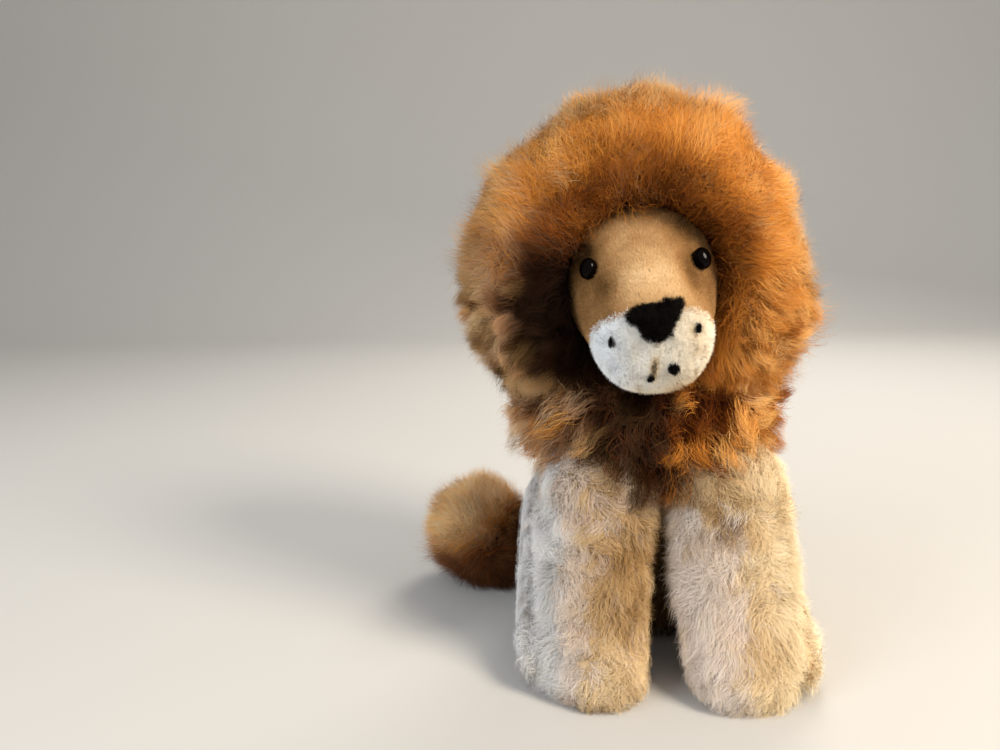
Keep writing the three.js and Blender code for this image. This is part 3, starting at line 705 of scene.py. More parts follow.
for word, side in SIDES:
    rng = np.random.default_rng(11 if side > 0 else 12)
    coat = Coat(f"front_leg_{word}", "cream_fur", CREAM_PILE)
    skin = foreleg_skin(side)
    skin_object(f"{coat.body}_skin", skin, foreleg_marks(skin.points, side), coat, f"{coat.body}_pelt", 0.7)
    roots, normals = skin.scatter(FORELEG_STRANDS, rng, off_floor)
    x, y, z = roots.T
    inner = smooth(20, 9, side * x)
    rise = (0.6 + 0.7 * inner * smooth(44, 60, z))[:, None]
    fall = (0.42 + 0.13 * smooth(8, 26, z))[:, None]
    loose = (0.85 - 0.25 * smooth(34, 20, z))[:, None]
    aims = unit(normals * rise + DOWN * fall + swirl(roots, 11, 31 + side) * loose)
    lengths = 11.0 * rng.uniform(0.6, 1.2, len(roots)) * (0.75 + 0.5 * noise(roots, 7, 33 + side))
    # Short pile low on the inner side, where the legs part, and long above it, where they meet
    beside_foot = smooth(40, 48, side * x) * smooth(90, 70, z)
    inner_cap = 2.6 + 7.0 * smooth(24, 56, z) + 4.0 * smooth(56, 70, z)
    cap = 6.6 * (1 - inner) + inner_cap * inner + 6.5 * beside_foot
    lengths *= 1 + 0.45 * inner * smooth(50, 66, z) + 0.7 * beside_foot
    if side > 0:
        # Longer pile hangs into the gap between the legs, and the dirty patch stands out
        hanging = blob(roots, (15, -84, 46), (14, 26, 20))
        aims = unit(aims + np.array([-0.3, -0.2, -0.6]) * hanging[:, None] * 1.8)
        lengths *= 1 + 0.9 * hanging
        cap += 2.5 * hanging + 2.0 * blob(roots, (26, -88, 74), (11, 26, 10))
    fur(f"{coat.body}_fur", roots, normals, aims, lengths, partial(foreleg_paint, side), rng, coat,
        "foreleg", pieces=2, cap=cap)


# Hind legs

def hindleg_skin(side, sides=48):
    rings = []
    for y, wide, high, x, z in spline_rows(HIND_LEG, 48):
        u, v = ring(wide - SKIN_DEPTH, high - SKIN_DEPTH, sides)
        # Flat on the inner side, and further out beside the front paw
        across = np.maximum(x + u, 45.2 + 9.5 * smooth(-30, -42, y))
        rings.append(np.stack([side * across, np.full(sides, y), np.maximum(z + v, SKIN_FLOOR)], axis=-1))
    return Skin.over(rings)


def hindleg_paint(side, path, lock, rng):
    """Cool cream at the right, which is painted cool light; golden at the left and lighter toward its foot,
    as painted light.
    """
    spot = path[:, 2]
    tone = 0.7 + 0.14 * mottle(spot, 18, 4) + (lock[:, 0] - 0.5) * 0.08
    # Lighter toward the left hind foot: painted light
    tone += 0.2 * smooth(-30, -64, spot[:, 1]) * (side > 0)
    place = noise(spot, 9, 23) * 0.7 + lock[:, 1] * 0.3
    return tone, pick(rng, place, side > 0, 0.2, side < 0, alike=0.85)


for word, side in SIDES:
    rng = np.random.default_rng(21 if side > 0 else 22)
    coat = Coat(f"hind_leg_{word}", "cream_fur", CREAM_PILE)
    skin = hindleg_skin(side)
    # The right hind leg's skin is in the cool cream, painted cool light
    skin_object(f"{coat.body}_skin", skin, 0.66, coat, f"{coat.body}_pelt", 0.7, family=0 if side > 0 else 2)
    roots, normals = skin.scatter(
        HINDLEG_STRANDS, rng, lambda p: off_floor(p) * (0.25 + 0.75 * smooth(46, 50, side * p[:, 0])))
    aims = unit(normals * 0.55 + np.array([0, -0.3, -0.3]) + swirl(roots, 10, 41 + side) * 0.9)
    lengths = 10.0 * rng.uniform(0.6, 1.2, len(roots)) * (0.75 + 0.45 * noise(roots, 7, 43 + side))
    # Flatter on the outer side, fuller where it faces the front paw
    outer = smooth(0.2, 0.8, side * normals[:, 0])
    cap = 7.5 - outer * (4.6 if side < 0 else 3.2 - 1.5 * smooth(-50, -10, roots[:, 1]))
    fur(f"{coat.body}_fur", roots, normals, aims, lengths, partial(hindleg_paint, side), rng, coat,
        "hindleg", cap=cap)


# Torso

def belly_shade_and_dark_pile(points):
    """Share of the dark place between the legs, partly dark pile and partly painted shade."""
    x, y, z = points.T
    return smooth(-20, -36, y) * smooth(34, 14, np.abs(x)) * smooth(70, 58, z)


def torso_paint(path, lock, rng):
    spot = path[:, 1]
    dark = belly_shade_and_dark_pile(spot)
    tone = 0.64 + 0.12 * mottle(spot, 20, 5) + (lock[:, 0] - 0.5) * 0.08 - 0.66 * dark
    # Cool cream toward the lion's right is painted cool light
    cool = smooth(10, -50, spot[:, 0]) * (1 - dark)
    place = noise(spot, 9, 25) * 0.7 + lock[:, 1] * 0.3
    return tone, pick(rng, place, 1 - 0.7 * cool, 0.25, 0.7 * cool, alike=0.85)


rng = np.random.default_rng(31)
skin = upright(TORSO, 60, inset=SKIN_DEPTH)
skin.points[:, 2] = np.clip(skin.points[:, 2], SKIN_FLOOR, 122)
skin_object("torso_skin", skin, 0.5 - 0.5 * belly_shade_and_dark_pile(skin.points), TORSO_COAT, "torso_pelt", 0.7)
roots, normals = skin.scatter(TORSO_STRANDS, rng, lambda p: smooth(1, 4, p[:, 2]) * smooth(122, 112, p[:, 2]))
aims = unit(normals * 0.55 + DOWN * 0.5 + swirl(roots, 10, 51) * 0.8)
lengths = 11.0 * rng.uniform(0.6, 1.2, len(roots))
fur("torso_fur", roots, normals, aims, lengths, torso_paint, rng, TORSO_COAT, "torso", cap=6.6)

# Seat cloth, under the lion
wide, deep = ring(39.2, 35.1, 72)
rings = []
SEAT = [(0.3, 0.02), (0.25, 0.5), (0.3, 0.97), (1.4, 1.0), (2.6, 0.97), (2.7, 0.5), (2.7, 0.02)]
for height, share in SEAT:
    ripple = np.abs(0.15 * np.sin(9 * angles(72)) * share)
    rings.append(np.stack([wide * share, 2.4 + deep * share, height + ripple], axis=-1))
skin = Skin.over(rings)
x, y, z = skin.points.T
uv = np.stack([0.5 + x / 200, 0.5 + y / 200 + z / 50], axis=-1)
seat = build("seat_cloth", skin.points, [skin.quads, skin.tris], uv)
place(seat, "torso", "cream_fur", CLOTH, ["seat_panel"])


# Ruff under the chin

def ruff_paint(path, lock, rng):
    """Dark in the middle under the chin, partly dark pile and partly painted shade; mauve and blond locks at
    the right, rusty gold at the left.
    """
    x, y, z = path[:, 3].T
    # The dark middle under the chin is partly dark pile and partly painted shade
    middle = np.exp(-(((x + 13) / 21) ** 2)) * smooth(-30, -60, y)
    tone = 0.4 - 0.32 * middle + 0.08 * smooth(0, 45, x) + 0.1 * smooth(-25, -50, x)
    tone += (lock[:, 0] - 0.5) * (0.7 - 0.5 * middle)
    left = smooth(-16, 8, x)
    return tone, pick(rng, lock[:, 1], 0.3 + 0.7 * left, 0.6 * (1 - left) + 0.1, 0.3 * (1 - left) + 0.04)


rng = np.random.default_rng(41)
skin = upright(RUFF, 30, inset=10, centre=(-4.5, 0.0), power=2.1)
skin.points[:, 2] += 5
skin_object("ruff_skin", skin, 0.1, RUFF_COAT, "chest_ruff", 0.6)
roots, normals = skin.scatter(RUFF_STRANDS, rng)
outward = unit((roots - np.array([-2, -24, 110])) * np.array([1, 1, 0.6]))
aims = unit(outward * 0.8 + np.array([0, -0.1, -0.8]) + swirl(roots, 14, 61) * 0.5)
lengths = 19.0 * rng.uniform(0.65, 1.15, len(roots)) * (1 - 0.3 * smooth(15, 50, roots[:, 0]))
fur("ruff_fur", roots, normals, aims, lengths, ruff_paint, rng, RUFF_COAT, "ruff", pieces=2)
curls("ruff_curls", roots, normals, aims + np.array([0.1, -1.1, 0.3]), ((32, -62, 106), (20, 24, 14), 0.45),
      150, (18.0, 0.7, 1.2), (0.55, 0.35), rng, RUFF_COAT, "ruff curls")

# Neck sleeve
skin_object("neck_skin", ball_skin(NECK, NECK_RADII), 0.3, NECK_COAT, "neck_pelt", 0.7)


# Head, in its own frame

EYES = {1: np.array([25.2, -31.5, 9.5]), -1: np.array([-24.4, -31.5, 9.5])}
# Golden bridge with a painted highlight, light brow, and darker places round the eyes, on the cheeks and
# under the mane, partly olive and dark smudges and partly painted shade
FACE_STAINS_AND_PAINTED_LIGHT = [
    (0.36, (2, -46, 2), (16, 18, 14)), (-0.26, (29, -34, 0), (8, 18, 14)),
    (-0.14, (-27, -38, -6), (9, 16, 12)), (0.08, (-5, -25, 22), (13, 30, 10)),
    (-0.3, (-17, -40, 2), (6, 14, 6)), (-0.16, (-15, -50, -7), (5, 12, 4)),
    (-0.5, (-26, -24, 15), (7, 16, 9)), (-0.3, (-24, -30, 16), (2.2, 12, 2.6)),
    (-0.2, (-29, -20, 4), (6, 16, 20)), (-0.3, (19, -24, 22), (9, 16, 9)),
    (-0.3, (-2, -10, 34), (28, 14, 6)), (-0.3, (18, -38, 6), (5, 10, 14)),
    (-0.1, (-20, -50, -14), (8, 12, 10)),
]
# Round the eyes and down beside the bridge
FACE_DENTS = [(1.8, (24, -32, 8), (7, 9, 7)), (1.8, (-24, -32, 8), (7, 9, 7)),
              (2.0, (18, -44, -1), (5, 12, 10)), (1.6, (-19, -44, -1), (5, 12, 10))]
# The seam in the middle, painted shade under the nose, and a smudge
MUZZLE_STAINS_AND_SHADE = [(-1.1, (-1.2, -60, -28.6), (1.5, 12, 3.8)), (-0.1, (1, -62, -22), (2.5, 12, 4)),
                 (-0.16, (14.5, -60, -15), (2.0, 12, 2.4))]


def head_skin(inset=0.0, sides=96, count=80):
    rings = []
    for ahead, wide, high, up in spline_rows(HEAD, count):
        u, v = ring(wide - inset, high - inset, sides, 2.15)
        back = np.clip(ahead / 60, -1, 1) * inset
        rings.append(np.stack([u, np.full(sides, back - ahead), up + v], axis=-1))
    return Skin.over(rings)


def face_tone(points):
    return 0.52 + 0.14 * mottle(points, 9, 7) + 0.1 * mottle(points, 3, 8) + bumps(points, FACE_STAINS_AND_PAINTED_LIGHT)


def muzzle_depth(points, grow_by=0.0):
    """Below 1 inside the muzzle's oval."""
    across = np.abs((points - MUZZLE_CENTRE) / (MUZZLE_RADII + grow_by))
    return (across**MUZZLE_POWER).sum(axis=-1) ** (1 / MUZZLE_POWER)


def dents(points):
    """How far the face is drawn in, which is also under the muzzle's patch."""
    in_patch = smooth(0.98, 0.9, muzzle_depth(points)) * (points[:, 1] < -28)
    return np.minimum(bumps(points, FACE_DENTS), 2.2) + 2.4 * in_patch


head = head_skin(sides=150, count=130)
HEAD_TREE = head.tree()
head.points = head.points - head.normals() * dents(head.points)[:, None]
skin_object("head_skin", head.posed(), face_tone(head.points), FACE_COAT, "head_pelt", 0.7)

rng = np.random.default_rng(51)
roots, normals = head.scatter(
    FACE_STRANDS, rng, lambda p: smooth(8, -4, p[:, 1]) * (muzzle_depth(p, -1.0) >= 1))
clear = np.all([np.linalg.norm(roots - spot, axis=1) > 4.4 for spot in EYES.values()], axis=0)
roots, normals = roots[clear], normals[clear]
aims = unit(normals * 0.5 + np.array([0, 0.7, 0.25]) + np.array([0.5, 0, 0]) * np.sign(roots[:, :1]) * 0.4)
fur("face_fur", roots, normals, aims, 1.3 * rng.uniform(0.6, 1.3, len(roots)),
    lambda path, lock, rng: (face_tone(path[:, 1]), 0), rng, FACE_COAT, "face", posed=True)


# Muzzle

def muzzle_tone(points):
    """White, bluish at the right and warmer at the left as painted cool and warm light, and warmer below."""
    x, y, z = points.T
    tone = 0.72 - 0.22 * smooth(-2, 16, x) + 0.26 * smooth(-6, -18, x) + 0.14 * mottle(points, 5, 9)
    tone -= 0.42 * smooth(-34, -43, z) + 0.18 * smooth(-26, -40, z) * smooth(-4, 12, x)
    return tone + bumps(points, MUZZLE_STAINS_AND_SHADE)


def muzzle_patch():
    """A skin just under the face, and the part of it inside the muzzle's oval as a closed patch of cloth."""
    outer = head_skin(inset=0.9, sides=110, count=110)
    inner = head_skin(inset=2.2, sides=110, count=110)
    kept = muzzle_depth(outer.points) < 1
    quads = outer.quads[kept[outer.quads].all(axis=1)]
    tris = outer.tris[kept[outer.tris].all(axis=1)]
    count = len(outer.points)
    edges = {(a, b) for face in [*quads.tolist(), *tris.tolist()] for a, b in zip(face, face[1:] + face[:1])}
    rim = np.array([(b, a, a + count, b + count) for a, b in sorted(edges) if (b, a) not in edges])
    used = np.unique(np.concatenate([quads.ravel(), tris.ravel()]))
    used = np.concatenate([used, used + count])
    where = np.full(2 * count, -1)
    where[used] = np.arange(len(used))
    points = np.concatenate([outer.points, inner.points])[used]
    patch = Skin(points, where[np.concatenate([quads, quads[:, ::-1] + count, rim])],
                 where[np.concatenate([tris, tris[:, ::-1] + count])])
    return outer, patch


muzzle, patch = muzzle_patch()
skin_object("muzzle_skin", patch.posed(), muzzle_tone(patch.points), MUZZLE_COAT, "muzzle_patch", 0.5)


# Nose and spots, as domed patches over the muzzle

# Across and up
NOSE_CORNERS = [(-9.7, -8.4), (-8.5, -10.2), (-6.3, -12.1), (-5.2, -13.2), (-5.0, -15.0), (-2.5, -16.7),
                (0.6, -17.2), (3.7, -16.7), (5.7, -14.8), (6.3, -12.4), (8.4, -10.2), (9.0, -7.7),
                (10.7, -5.6), (11.5, -4.4), (9.3, -3.7), (5.7, -3.5), (2.8, -3.9), (0.6, -4.9),
                (-1.6, -4.4), (-4.5, -4.7), (-7.2, -5.6), (-9.2, -6.7)]
# Name, place across and up, half width, half height, and how far it trails up
SPOTS = [
    ("whisker_spot_right", -16.9, -17.8, 0.5, 1.4, 0.5),
    ("whisker_spot_left", 16.4, -15, 0.45, 1.2, 0.4),
    ("mouth_stitch_left", 6.2, -29.7, 1.8, 1.5, 1.0),
    ("mouth_stitch_right", -2.8, -32.6, 0.7, 0.9, 0.0),
]


def on_face(outline, proud):
    """Points on the front of the face, raised by proud."""
    out = []
    for x, z in outline:
        hit, normal, _, _ = HEAD_TREE.ray_cast(Vector((x, -120, z)), Vector((0, 1, 0)))
        if hit is None:
            hit, normal, _, _ = HEAD_TREE.find_nearest(Vector((x, -80, z)))
        out.append(hit + normal * proud)
    return np.array(out)


def dome_patch(outline, proud=1.4, depth=1.5, rings=7):
    """A closed patch with the outline, raised in the middle and sunk at its edge."""
    middle = outline.mean(axis=0)
    layers = []
    for share in np.linspace(1, 0.12, rings):
        inner = middle + (outline - middle) * share
        layers.append(on_face(inner, proud * math.sqrt(1 - share**4) + 0.3))
    return Skin.over([on_face(inner, -depth), on_face(outline, -depth), *layers])


def smooth_outline(corners, steps=4):
    """A curve through the corners, closed, in some steps for each of them."""
    corners = np.asarray(corners, float)
    looped = np.concatenate([corners[-1:], corners, corners[:2]])
    starts = range(len(corners))
    return np.array([between(*looped[k:k + 4], f) for k in starts for f in np.arange(steps) / steps])


def wool(name, skin, count, length, rng, coat, style, tones, keep, pieces=1):
    """Short curly wool on a skin in the head's frame."""
    roots, normals = skin.scatter(count, rng, keep)
    aims = unit(normals * 0.5 + rng.normal(size=roots.shape) * 0.6 + DOWN * 0.2)
    lengths = length * rng.uniform(0.6, 1.3, len(roots))
    fur(name, roots, normals, aims, lengths, lambda path, lock, rng: (tones(path[:, 1]), 0), rng, coat, style,
        pieces=pieces, posed=True)


def in_front(points):
    return smooth(-52, -56, points[:, 1])


rng = np.random.default_rng(61)
nose_outline = smooth_outline(NOSE_CORNERS)
nose = dome_patch(nose_outline)
skin_object("nose_skin", nose.posed(), 0.2, NOSE_COAT, "nose_patch", 0.4)
wool("nose_wool", nose, NOSE_STRANDS, 2.6, rng, NOSE_COAT, "nose", lambda p: 0.35, in_front)
for name, x, z, wide, tall, trail in SPOTS:
    angle = angles(24)
    wobble = 1 + 0.18 * np.sin(3 * angle + x) + 0.1 * np.sin(5 * angle + z)
    rise = tall * (wobble + trail * np.maximum(np.sin(angle), 0) ** 6)
    outline = np.stack([x + wide * wobble * np.cos(angle), z + rise * np.sin(angle)], axis=-1)
    spot = dome_patch(outline, rings=4)
    skin_object(f"{name}_skin", spot.posed(), 0.2, NOSE_COAT, name, 0.4)
    wool(f"{name}_wool", spot, SPOT_STRANDS, 1.5, rng, NOSE_COAT, "spot", lambda p: 0.2, in_front)


def inside_outline(outline, p):
    x, z = outline.T
    x2, z2 = np.roll(x, -1), np.roll(z, -1)
    cross = ((z > p[1]) != (z2 > p[1])) & (p[0] < (x2 - x) * (p[1] - z) / (z2 - z + 1e-9) + x)
    return cross.sum() % 2 == 1


def off_nose(points):
    """Share of the muzzle's wool at each point: none under the nose or spots."""
    share = (muzzle_depth(points) < 1.01) * smooth(-28, -34, points[:, 1])
    at_nose = np.array([inside_outline(nose_outline, p) for p in points[:, [0, 2]]])
    share *= ~(at_nose & (points[:, 1] < -40))
    for _, x, z, wide, _, _ in SPOTS:
        share *= np.hypot(points[:, 0] - x, points[:, 2] - z) > wide * 1.15
    return share


wool("muzzle_wool", muzzle, MUZZLE_STRANDS, 2.7, rng, MUZZLE_COAT, "muzzle", muzzle_tone, off_nose, pieces=2)


# Eyes: domed oval buttons on shanks

EYE_TURN, EYE_LIFT, EYE_SUNK, EYE_OVAL = 34, 24, 1.7, (0.87, 1.12)
# Place ahead and radius, from the shank's end to the front
EYE_PROFILE = [(-15, 1.4), (-3.2, 1.4), (-3.0, 3.4), (-1.9, 4.05), (0, 4.2), (1.2, 3.95), (2.2, 3.2),
               (2.8, 2.0), (3.02, 0.5)]


def eye_skin(side):
    lift, turn = math.radians(EYE_LIFT), math.radians(side * EYE_TURN)
    sight = np.array([math.sin(turn) * math.cos(lift), -math.cos(turn) * math.cos(lift), math.sin(lift)])
    across = unit(np.cross(sight, [0, 0, 1.0]))
    up = np.cross(across, sight)
    angle = angles(40)[:, None]
    flat = EYE_OVAL[0] * np.cos(angle) * across + EYE_OVAL[1] * np.sin(angle) * up
    return Skin.over([EYES[side] + sight * (ahead - EYE_SUNK) + flat * max(radius, 0.3)
                      for ahead, radius in spline_rows(EYE_PROFILE, 40)])


for word, side in SIDES:
    skin = eye_skin(side).posed()
    number = np.arange(len(skin.points))
    uv = 0.5 + 0.01 * np.stack([number % 3, number % 2], axis=-1)
    obj = build(f"eye_{word}_button", skin.points, [skin.quads, skin.tris], uv)
    place(obj, "head", "eye_bead", BEAD, [f"eye_{word}"])


# Mane

def mane_outward(path):
    """The way out of the mane's egg shape at each strand."""
    return unit((path[:, 3] - MANE_CENTRE) / MANE_RADII**2)


def to_outline(roots, aims):
    """How far each root is from the mane's outline, along its aim."""
    p, a = (roots - MANE_CENTRE) / MANE_RADII, aims / MANE_RADII
    square, half = (a * a).sum(axis=1), (a * p).sum(axis=1)
    return (-half + np.sqrt(np.maximum(half**2 - square * ((p * p).sum(axis=1) - 1), 0))) / square


def round_face(points):
    """Place about the mane's middle: reach, 1 at the outline, and angle in degrees, 90 at the top."""
    dx, dz = points[:, 0] - MANE_CENTRE[0], points[:, 2] - MANE_CENTRE[2]
    return np.hypot(dx / MANE_RADII[0], dz / MANE_RADII[2]), np.degrees(np.arctan2(dz, dx))


def lobe(angle, middle, half):
    """Share of a band of angles round the face."""
    off = (angle - middle + 180) % 360 - 180
    return np.exp(-((off / half) ** 2))


def parting(points):
    """Near 1 where two of the mane's tufts part, as in the CAD form, more so at its outline."""
    reach, angle = round_face(points)
    turn = angle / 360 + TUFT_SWEEP * (points[:, 1] - MANE_CENTRE[1]) / MANE_RADII[1]
    return (0.5 - 0.5 * np.cos(2 * np.pi * TUFTS * turn)) * smooth(0.4, 1.0, reach)


def mane_paint(path, lock, rng):
    """Golden rust above, mauve brown at the right, near black beside and under the face as dark pile and
    painted shade, blond locks low.
    """
    spot = path[:, 3]
    reach, angle = round_face(spot)
    front = smooth(-14, -34, spot[:, 1])
    edge = smooth(0.8, 0.98, reach)
    # Near black beside and under the face: partly dark pile, partly painted shade
    dark = np.minimum(lobe(angle, -150, 42) + lobe(angle, -100, 36), 1) * smooth(0.84, 0.54, reach) * front
    contrast = 0.16 + 0.7 * lobe(angle, -110, 60) + 0.3 * lobe(angle, -20, 30)
    tone = 0.28 + 0.24 * smooth(0.46, 0.8, reach) + 0.12 * mottle(spot, 20, 10) + 0.05 * lobe(angle, 10, 50)
    tone += (lock[:, 0] - 0.5) * contrast * (1 - 0.85 * dark)
    tone += 0.16 * lobe(angle, -32, 28) * smooth(0.5, 0.75, reach)
    # Darker where the tufts part: painted shade in the partings
    tone -= 0.62 * dark + 0.1 * parting(spot) + 0.05 * edge
    right = lobe(angle, 200, 42)
    low = lobe(angle, -135, 28) * smooth(0.55, 0.75, reach) * front
    blond = 0.04 + 0.9 * low + 1.3 * edge
    return tone, pick(rng, lock[:, 1], 1 - 0.88 * right, 0.9 * right + 0.05, blond, alike=0.5)


def wisp_paint(path, lock, rng):
    return mane_paint(path, lock, rng)[0] + 0.1, mane_paint(path, lock, rng)[1]


# The skin is smaller than the CAD form's outline, by these shares above and below the mane's middle
CORE_ACROSS, CORE_ABOVE, CORE_BELOW = 0.88, 0.88, 0.7
rng = np.random.default_rng(71)
core_rows = [(178 + (z - 178) * (CORE_ABOVE if z > 178 else CORE_BELOW), w * CORE_ACROSS, d * CORE_ACROSS)
             for z, w, d in MANE]
core = upright(core_rows, 70, sides=110, centre=MANE_CENTRE[:2], power=2.1)
# The front is dished, so that the face stands out of it
x, _, z = ((core.points - FACE_DISH) / FACE_DISH_RADII).T
dish = FACE_DISH[1] + FACE_DISH_RADII[1] * np.sqrt(np.clip(1 - x**2 - z**2, 0, 1))
core.points[:, 1] = np.where(x**2 + z**2 < 1, np.maximum(core.points[:, 1], dish), core.points[:, 1])
skin_object("mane_skin", core, 0.05, MANE_COAT, "mane_pelt", 0.6)

roots, normals = core.scatter(MANE_STRANDS, rng, lambda p: 0.5 + 0.7 * smooth(-20, -44, p[:, 1]))
free = ~inside(head_skin(inset=-0.5).posed().tree(), roots)
roots, normals = roots[free], normals[free]
# Twisted locks hang below, and start higher up at the sides
sides = 24 * smooth(-10, -60, roots[:, 0]) + 14 * smooth(10, 50, roots[:, 0])
low = rng.random(len(roots)) < smooth(170, 144, roots[:, 2] - sides)
front = smooth(-30, -50, roots[:, 1])[:, None]
spoke = unit((roots - MANE_CENTRE) / MANE_RADII)
flat = unit(spoke * np.array([1, 0.25, 1]) + np.array([0, -0.22, 0]))
aims = unit(spoke * (1 - front) + flat * front)
# A fringe stands loose round the face
loose = smooth(0.58, 0.42, round_face(roots)[0]) * (rng.random(len(roots)) < 0.55)
drop = 0.25 - 0.5 * smooth(185, 205, roots[:, 2:])
aims = unit(aims + (swirl(roots, 7, 79) * 0.9 + np.array([0, -0.9, 0]) + DOWN * drop) * loose[:, None])

top, top_normals = roots[~low], normals[~low]
top_aims = unit(aims[~low] + swirl(top, 15, 71) * 0.42)
lengths = np.clip(to_outline(top, top_aims) - 0.5, 10, 36) * rng.uniform(0.75, 1.15, len(top))
lengths = lengths * (0.86 + 0.3 * noise(top, 8, 13) + 0.3 * noise(top, 17, 16)) - 5.0 * parting(top)
# The pile leans a little to the lion's right, and is flat at two places of its outline
lengths += 3.0 * smooth(-30, -70, top[:, 0]) - 3.5 * smooth(20, 60, top[:, 0])
_, top_angle = round_face(top)
lengths -= 6.5 * lobe(top_angle, 124, 15) + 3.0 * lobe(top_angle, 50, 15)
lengths *= 1 - 0.55 * loose[~low]
mane_pile = partial(fur, rng=rng, coat=MANE_COAT, outward=mane_outward)
mane_pile("mane_fur", top, top_normals, top_aims, lengths, mane_paint, style="mane", pieces=5)
over = rng.choice(len(top), min(len(top), FLUFF_STRANDS), replace=False)
fluff_aims = unit(top_aims[over] + swirl(top[over], 9, 73) * 0.8 + rng.normal(size=(len(over), 3)) * 0.3)
fluff_lengths = lengths[over] * rng.uniform(0.8, 1.1, len(over))
mane_pile("mane_fluff", top[over], top_normals[over], fluff_aims, fluff_lengths, mane_paint, style="fluff")
rim = np.flatnonzero(round_face(top)[0] > 0.55)
rim = rng.choice(rim, min(len(rim), WISP_STRANDS), replace=False)
wisp_lengths = (lengths[rim] + 4) * rng.uniform(0.85, 1.2, len(rim)) * (0.7 + 0.7 * noise(top[rim], 7, 15))
wisp_aims = unit(top_aims[rim] + swirl(top[rim], 9, 75) * 0.4)
mane_pile("mane_wisps", top[rim], top_normals[rim], wisp_aims, wisp_lengths, wisp_paint, style="wisps")

hang = roots[low]
outer_side = smooth(30, 60, np.abs(hang[:, 0] - MANE_CENTRE[0]))[:, None]
hang_way = DOWN * (0.5 - 0.3 * outer_side) + swirl(hang, 16, 81) * (0.55 - 0.2 * outer_side)
hang_aims = unit(aims[low] + hang_way)
lengths = np.clip(to_outline(hang, hang_aims) + 1.0, 16, 34) * rng.uniform(0.75, 1.2, len(hang))
mane_pile("mane_locks", hang, normals[low], hang_aims, lengths, mane_paint, style="locks", pieces=3)
# Golden curls low at the left, and light ones that fall over the forehead
curls("mane_ringlets", roots, normals, aims + np.array([0.1, -0.9, 0]) + swirl(roots, 6, 83),
      ((46, -48, 142), (20, 20, 30), 0.35), 900, (25.0, 0.7, 1.1), (0.5, 0.4), rng, MANE_COAT, "ringlets")
curls("mane_curls", top, top_normals, np.array([0.3, -0.6, -0.1]) + swirl(top, 6, 77) * 0.8,
      ((-24, -50, 211), (16, 14, 8), 0.3), 160, (15.0, 0.5, 1.2), (0.22, 0.3), rng, MANE_COAT, "fringe")


# Tail and tuft

def tube_skin(places, radius, sides=24):
    angle = angles(sides)[:, None]
    rings = []
    for p, d in zip(places, unit(np.gradient(places, axis=0))):
        side = unit(np.cross(d, [0, 0, 1.0]))
        rings.append(p + radius * (np.cos(angle) * side + np.sin(angle) * np.cross(side, d)))
    return Skin.over(rings)


def tail_paint(path, lock, rng):
    tone = 0.5 + 0.2 * mottle(path[:, 1], 14, 12) + (lock[:, 0] - 0.5) * 0.14
    return tone, pick(rng, lock[:, 1], 0.8, 0.2)


rng = np.random.default_rng(81)
route = spline_rows(TAIL_ROUTE, 60)
skin = tube_skin(route, TAIL_RADIUS)
skin_object("tail_skin", skin, 0.45, TAIL_COAT, "tail_pelt", 0.7)
roots, normals = skin.scatter(TAIL_STRANDS, rng)
aims = unit(normals * 0.5 + unit(np.gradient(route, axis=0))[nearest(roots, route)])
fur("tail_fur", roots, normals, aims, 8.0 * rng.uniform(0.7, 1.15, len(roots)), tail_paint, rng, TAIL_COAT,
    "tail")


def tuft_paint(path, lock, rng):
    """Tan gold above, dark brown below and toward the leg: partly the tuft's own brown, partly painted light
    on top and painted shade below.
    """
    x, y, z = path[:, 3].T
    # Lighter toward the top: painted light, with painted shade below
    high = smooth(20, 50, z + 0.5 * (TUFT_CENTRE[0] - x))
    tone = 0.18 + 0.62 * high + (lock[:, 0] - 0.5) * 0.2
    return tone, pick(rng, lock[:, 1], 0.5 + 0.3 * high, 0.9 - 0.5 * high, 1.2 * high, alike=0.3)


skin = ball_skin(TUFT_CENTRE + np.array([5, 3, -2]), TUFT_RADII * np.array([0.74, 0.7, 0.7]))
skin_object("tuft_skin", skin, 0.12, TUFT_COAT, "tail_tuft", 0.5)
roots, normals = skin.scatter(TUFT_STRANDS, rng)
# The brush flows up and away from the tail's end; its low side droops toward the leg
out = unit(roots - np.array([-74, 25, 16]))
droop = smooth(2, 20, (roots[:, 0] - TUFT_CENTRE[0]) * 0.8 - (roots[:, 2] - TUFT_CENTRE[2]) * 0.6)[:, None]
flow = out * 0.6 + normals * 0.3 + np.array([-0.35, -0.1, 0.35])
hanging = normals * 0.7 + np.array([0.25, -0.15, -0.35])
aims = unit(flow * (1 - droop) + hanging * droop + swirl(roots, 9, 91) * 0.55)
lengths = 15.0 * rng.uniform(0.5, 1.25, len(roots)) * (0.65 + 0.7 * noise(roots, 8, 14))
lengths *= 1 + 0.1 * smooth(-96, -112, roots[:, 0])
fur("tuft_fur", roots, normals, aims, lengths, tuft_paint, rng, TUFT_COAT, "tuft", pieces=2,
    outward=lambda path: unit((path[:, 3] - TUFT_CENTRE) / TUFT_RADII))

# What stays from the CAD part
for name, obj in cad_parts.items():
    finish = FIBRE if "stuffing" in name else PLASTIC if "washer" in name else CLOTH
    obj.data.materials.clear()
    obj.data.materials.append(finish)


# Floor, lights and camera, in metres

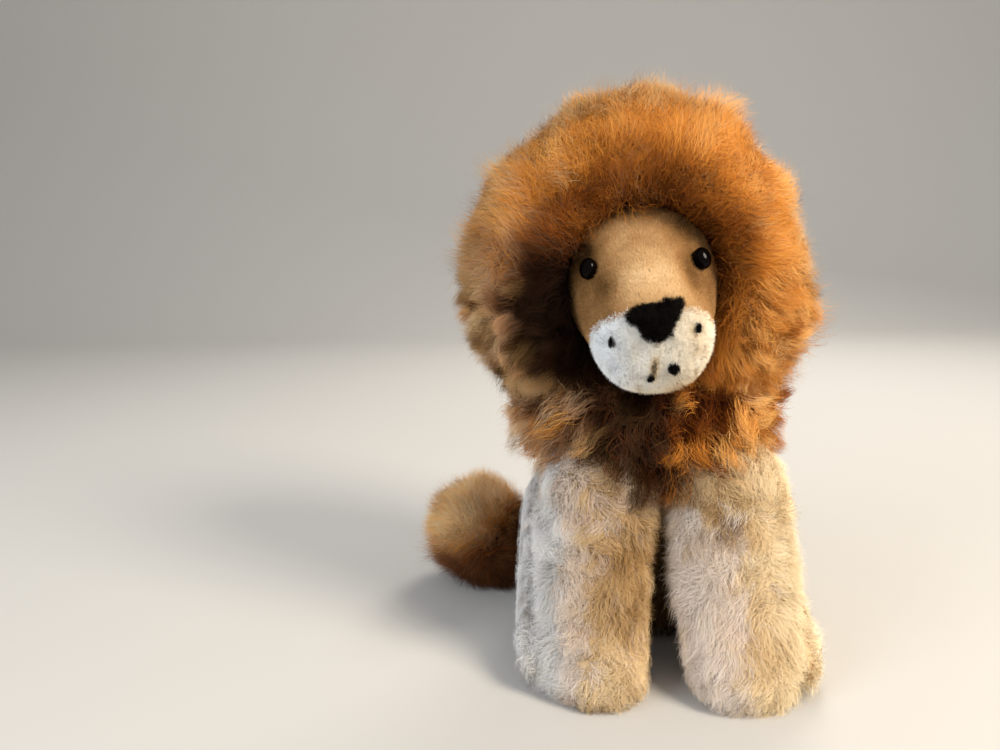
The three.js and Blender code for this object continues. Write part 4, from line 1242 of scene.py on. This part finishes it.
def floor_object():
    """A pale floor that curves up into a backdrop well behind the lion."""
    curve = [(-3.0, 0.0), (1.1, 0.0)]
    curve += [(1.1 + 0.7 * math.sin(a), 0.7 - 0.7 * math.cos(a)) for a in np.linspace(0.1, math.pi / 2, 12)]
    curve.append((1.8, 3.5))
    points = [(x, y, z) for y, z in curve for x in (-4.5, 4.5)]
    faces = [(2 * k, 2 * k + 1, 2 * k + 3, 2 * k + 2) for k in range(len(curve) - 1)]
    mesh = bpy.data.meshes.new("floor")
    mesh.from_pydata(points, [], faces)
    mesh.polygons.foreach_set("use_smooth", np.ones(len(faces), bool))
    mesh.materials.append(plain_material("pale floor", (200, 197, 192), 0.9, specular=0.1))
    link("floor", mesh)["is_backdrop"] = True


floor_object()
# Place, target, size, power and colour
LIGHTS = {
    "key": ((0.85, -0.6, 0.9), (0, -0.03, 0.12), 0.5, 20, (1.0, 0.9, 0.76)),
    "fill": ((-1.0, -0.8, 0.6), (0, -0.03, 0.12), 0.8, 8.5, (0.84, 0.92, 1.0)),
    "rim": ((0.3, 0.85, 0.9), (0, 0, 0.15), 0.6, 8, (1.0, 0.95, 0.88)),
}
for name, (spot, target, size, power, colour) in LIGHTS.items():
    light = bpy.data.lights.new(name, "AREA")
    light.shape, light.size, light.energy, light.color = "DISK", size, power, colour
    lamp = link(name, light)
    lamp.location = spot
    lamp.rotation_mode = "QUATERNION"
    lamp.rotation_quaternion = (Vector(target) - Vector(spot)).to_track_quat("-Z", "Y")
    lamp.visible_glossy = name != "fill"

world = bpy.data.worlds.new("studio")
world.use_nodes = True
world.node_tree.nodes["Background"].inputs["Color"].default_value = srgb(222, 224, 228)
world.node_tree.nodes["Background"].inputs["Strength"].default_value = 0.62
bpy.context.scene.world = world
bpy.context.scene.view_settings.view_transform = "Standard"

CAMERA_PLACE = Vector((-0.042, -0.404, 0.197))
CAMERA_AZIMUTH, CAMERA_PITCH, CAMERA_ROLL = 5.0, 10.1, 1.5
camera_data = bpy.data.cameras.new("camera")
camera_data.sensor_width = 36
camera_data.lens = 28.26
camera_data.clip_start = 0.01
camera = link("camera", camera_data)
camera.matrix_world = Matrix.Translation(CAMERA_PLACE)
for degrees, axis in ((CAMERA_AZIMUTH, "Z"), (90 - CAMERA_PITCH, "X"), (-CAMERA_ROLL, "Z")):
    camera.matrix_world = camera.matrix_world @ Matrix.Rotation(math.radians(degrees), 4, axis)
bpy.context.scene.camera = camera

low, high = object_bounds()
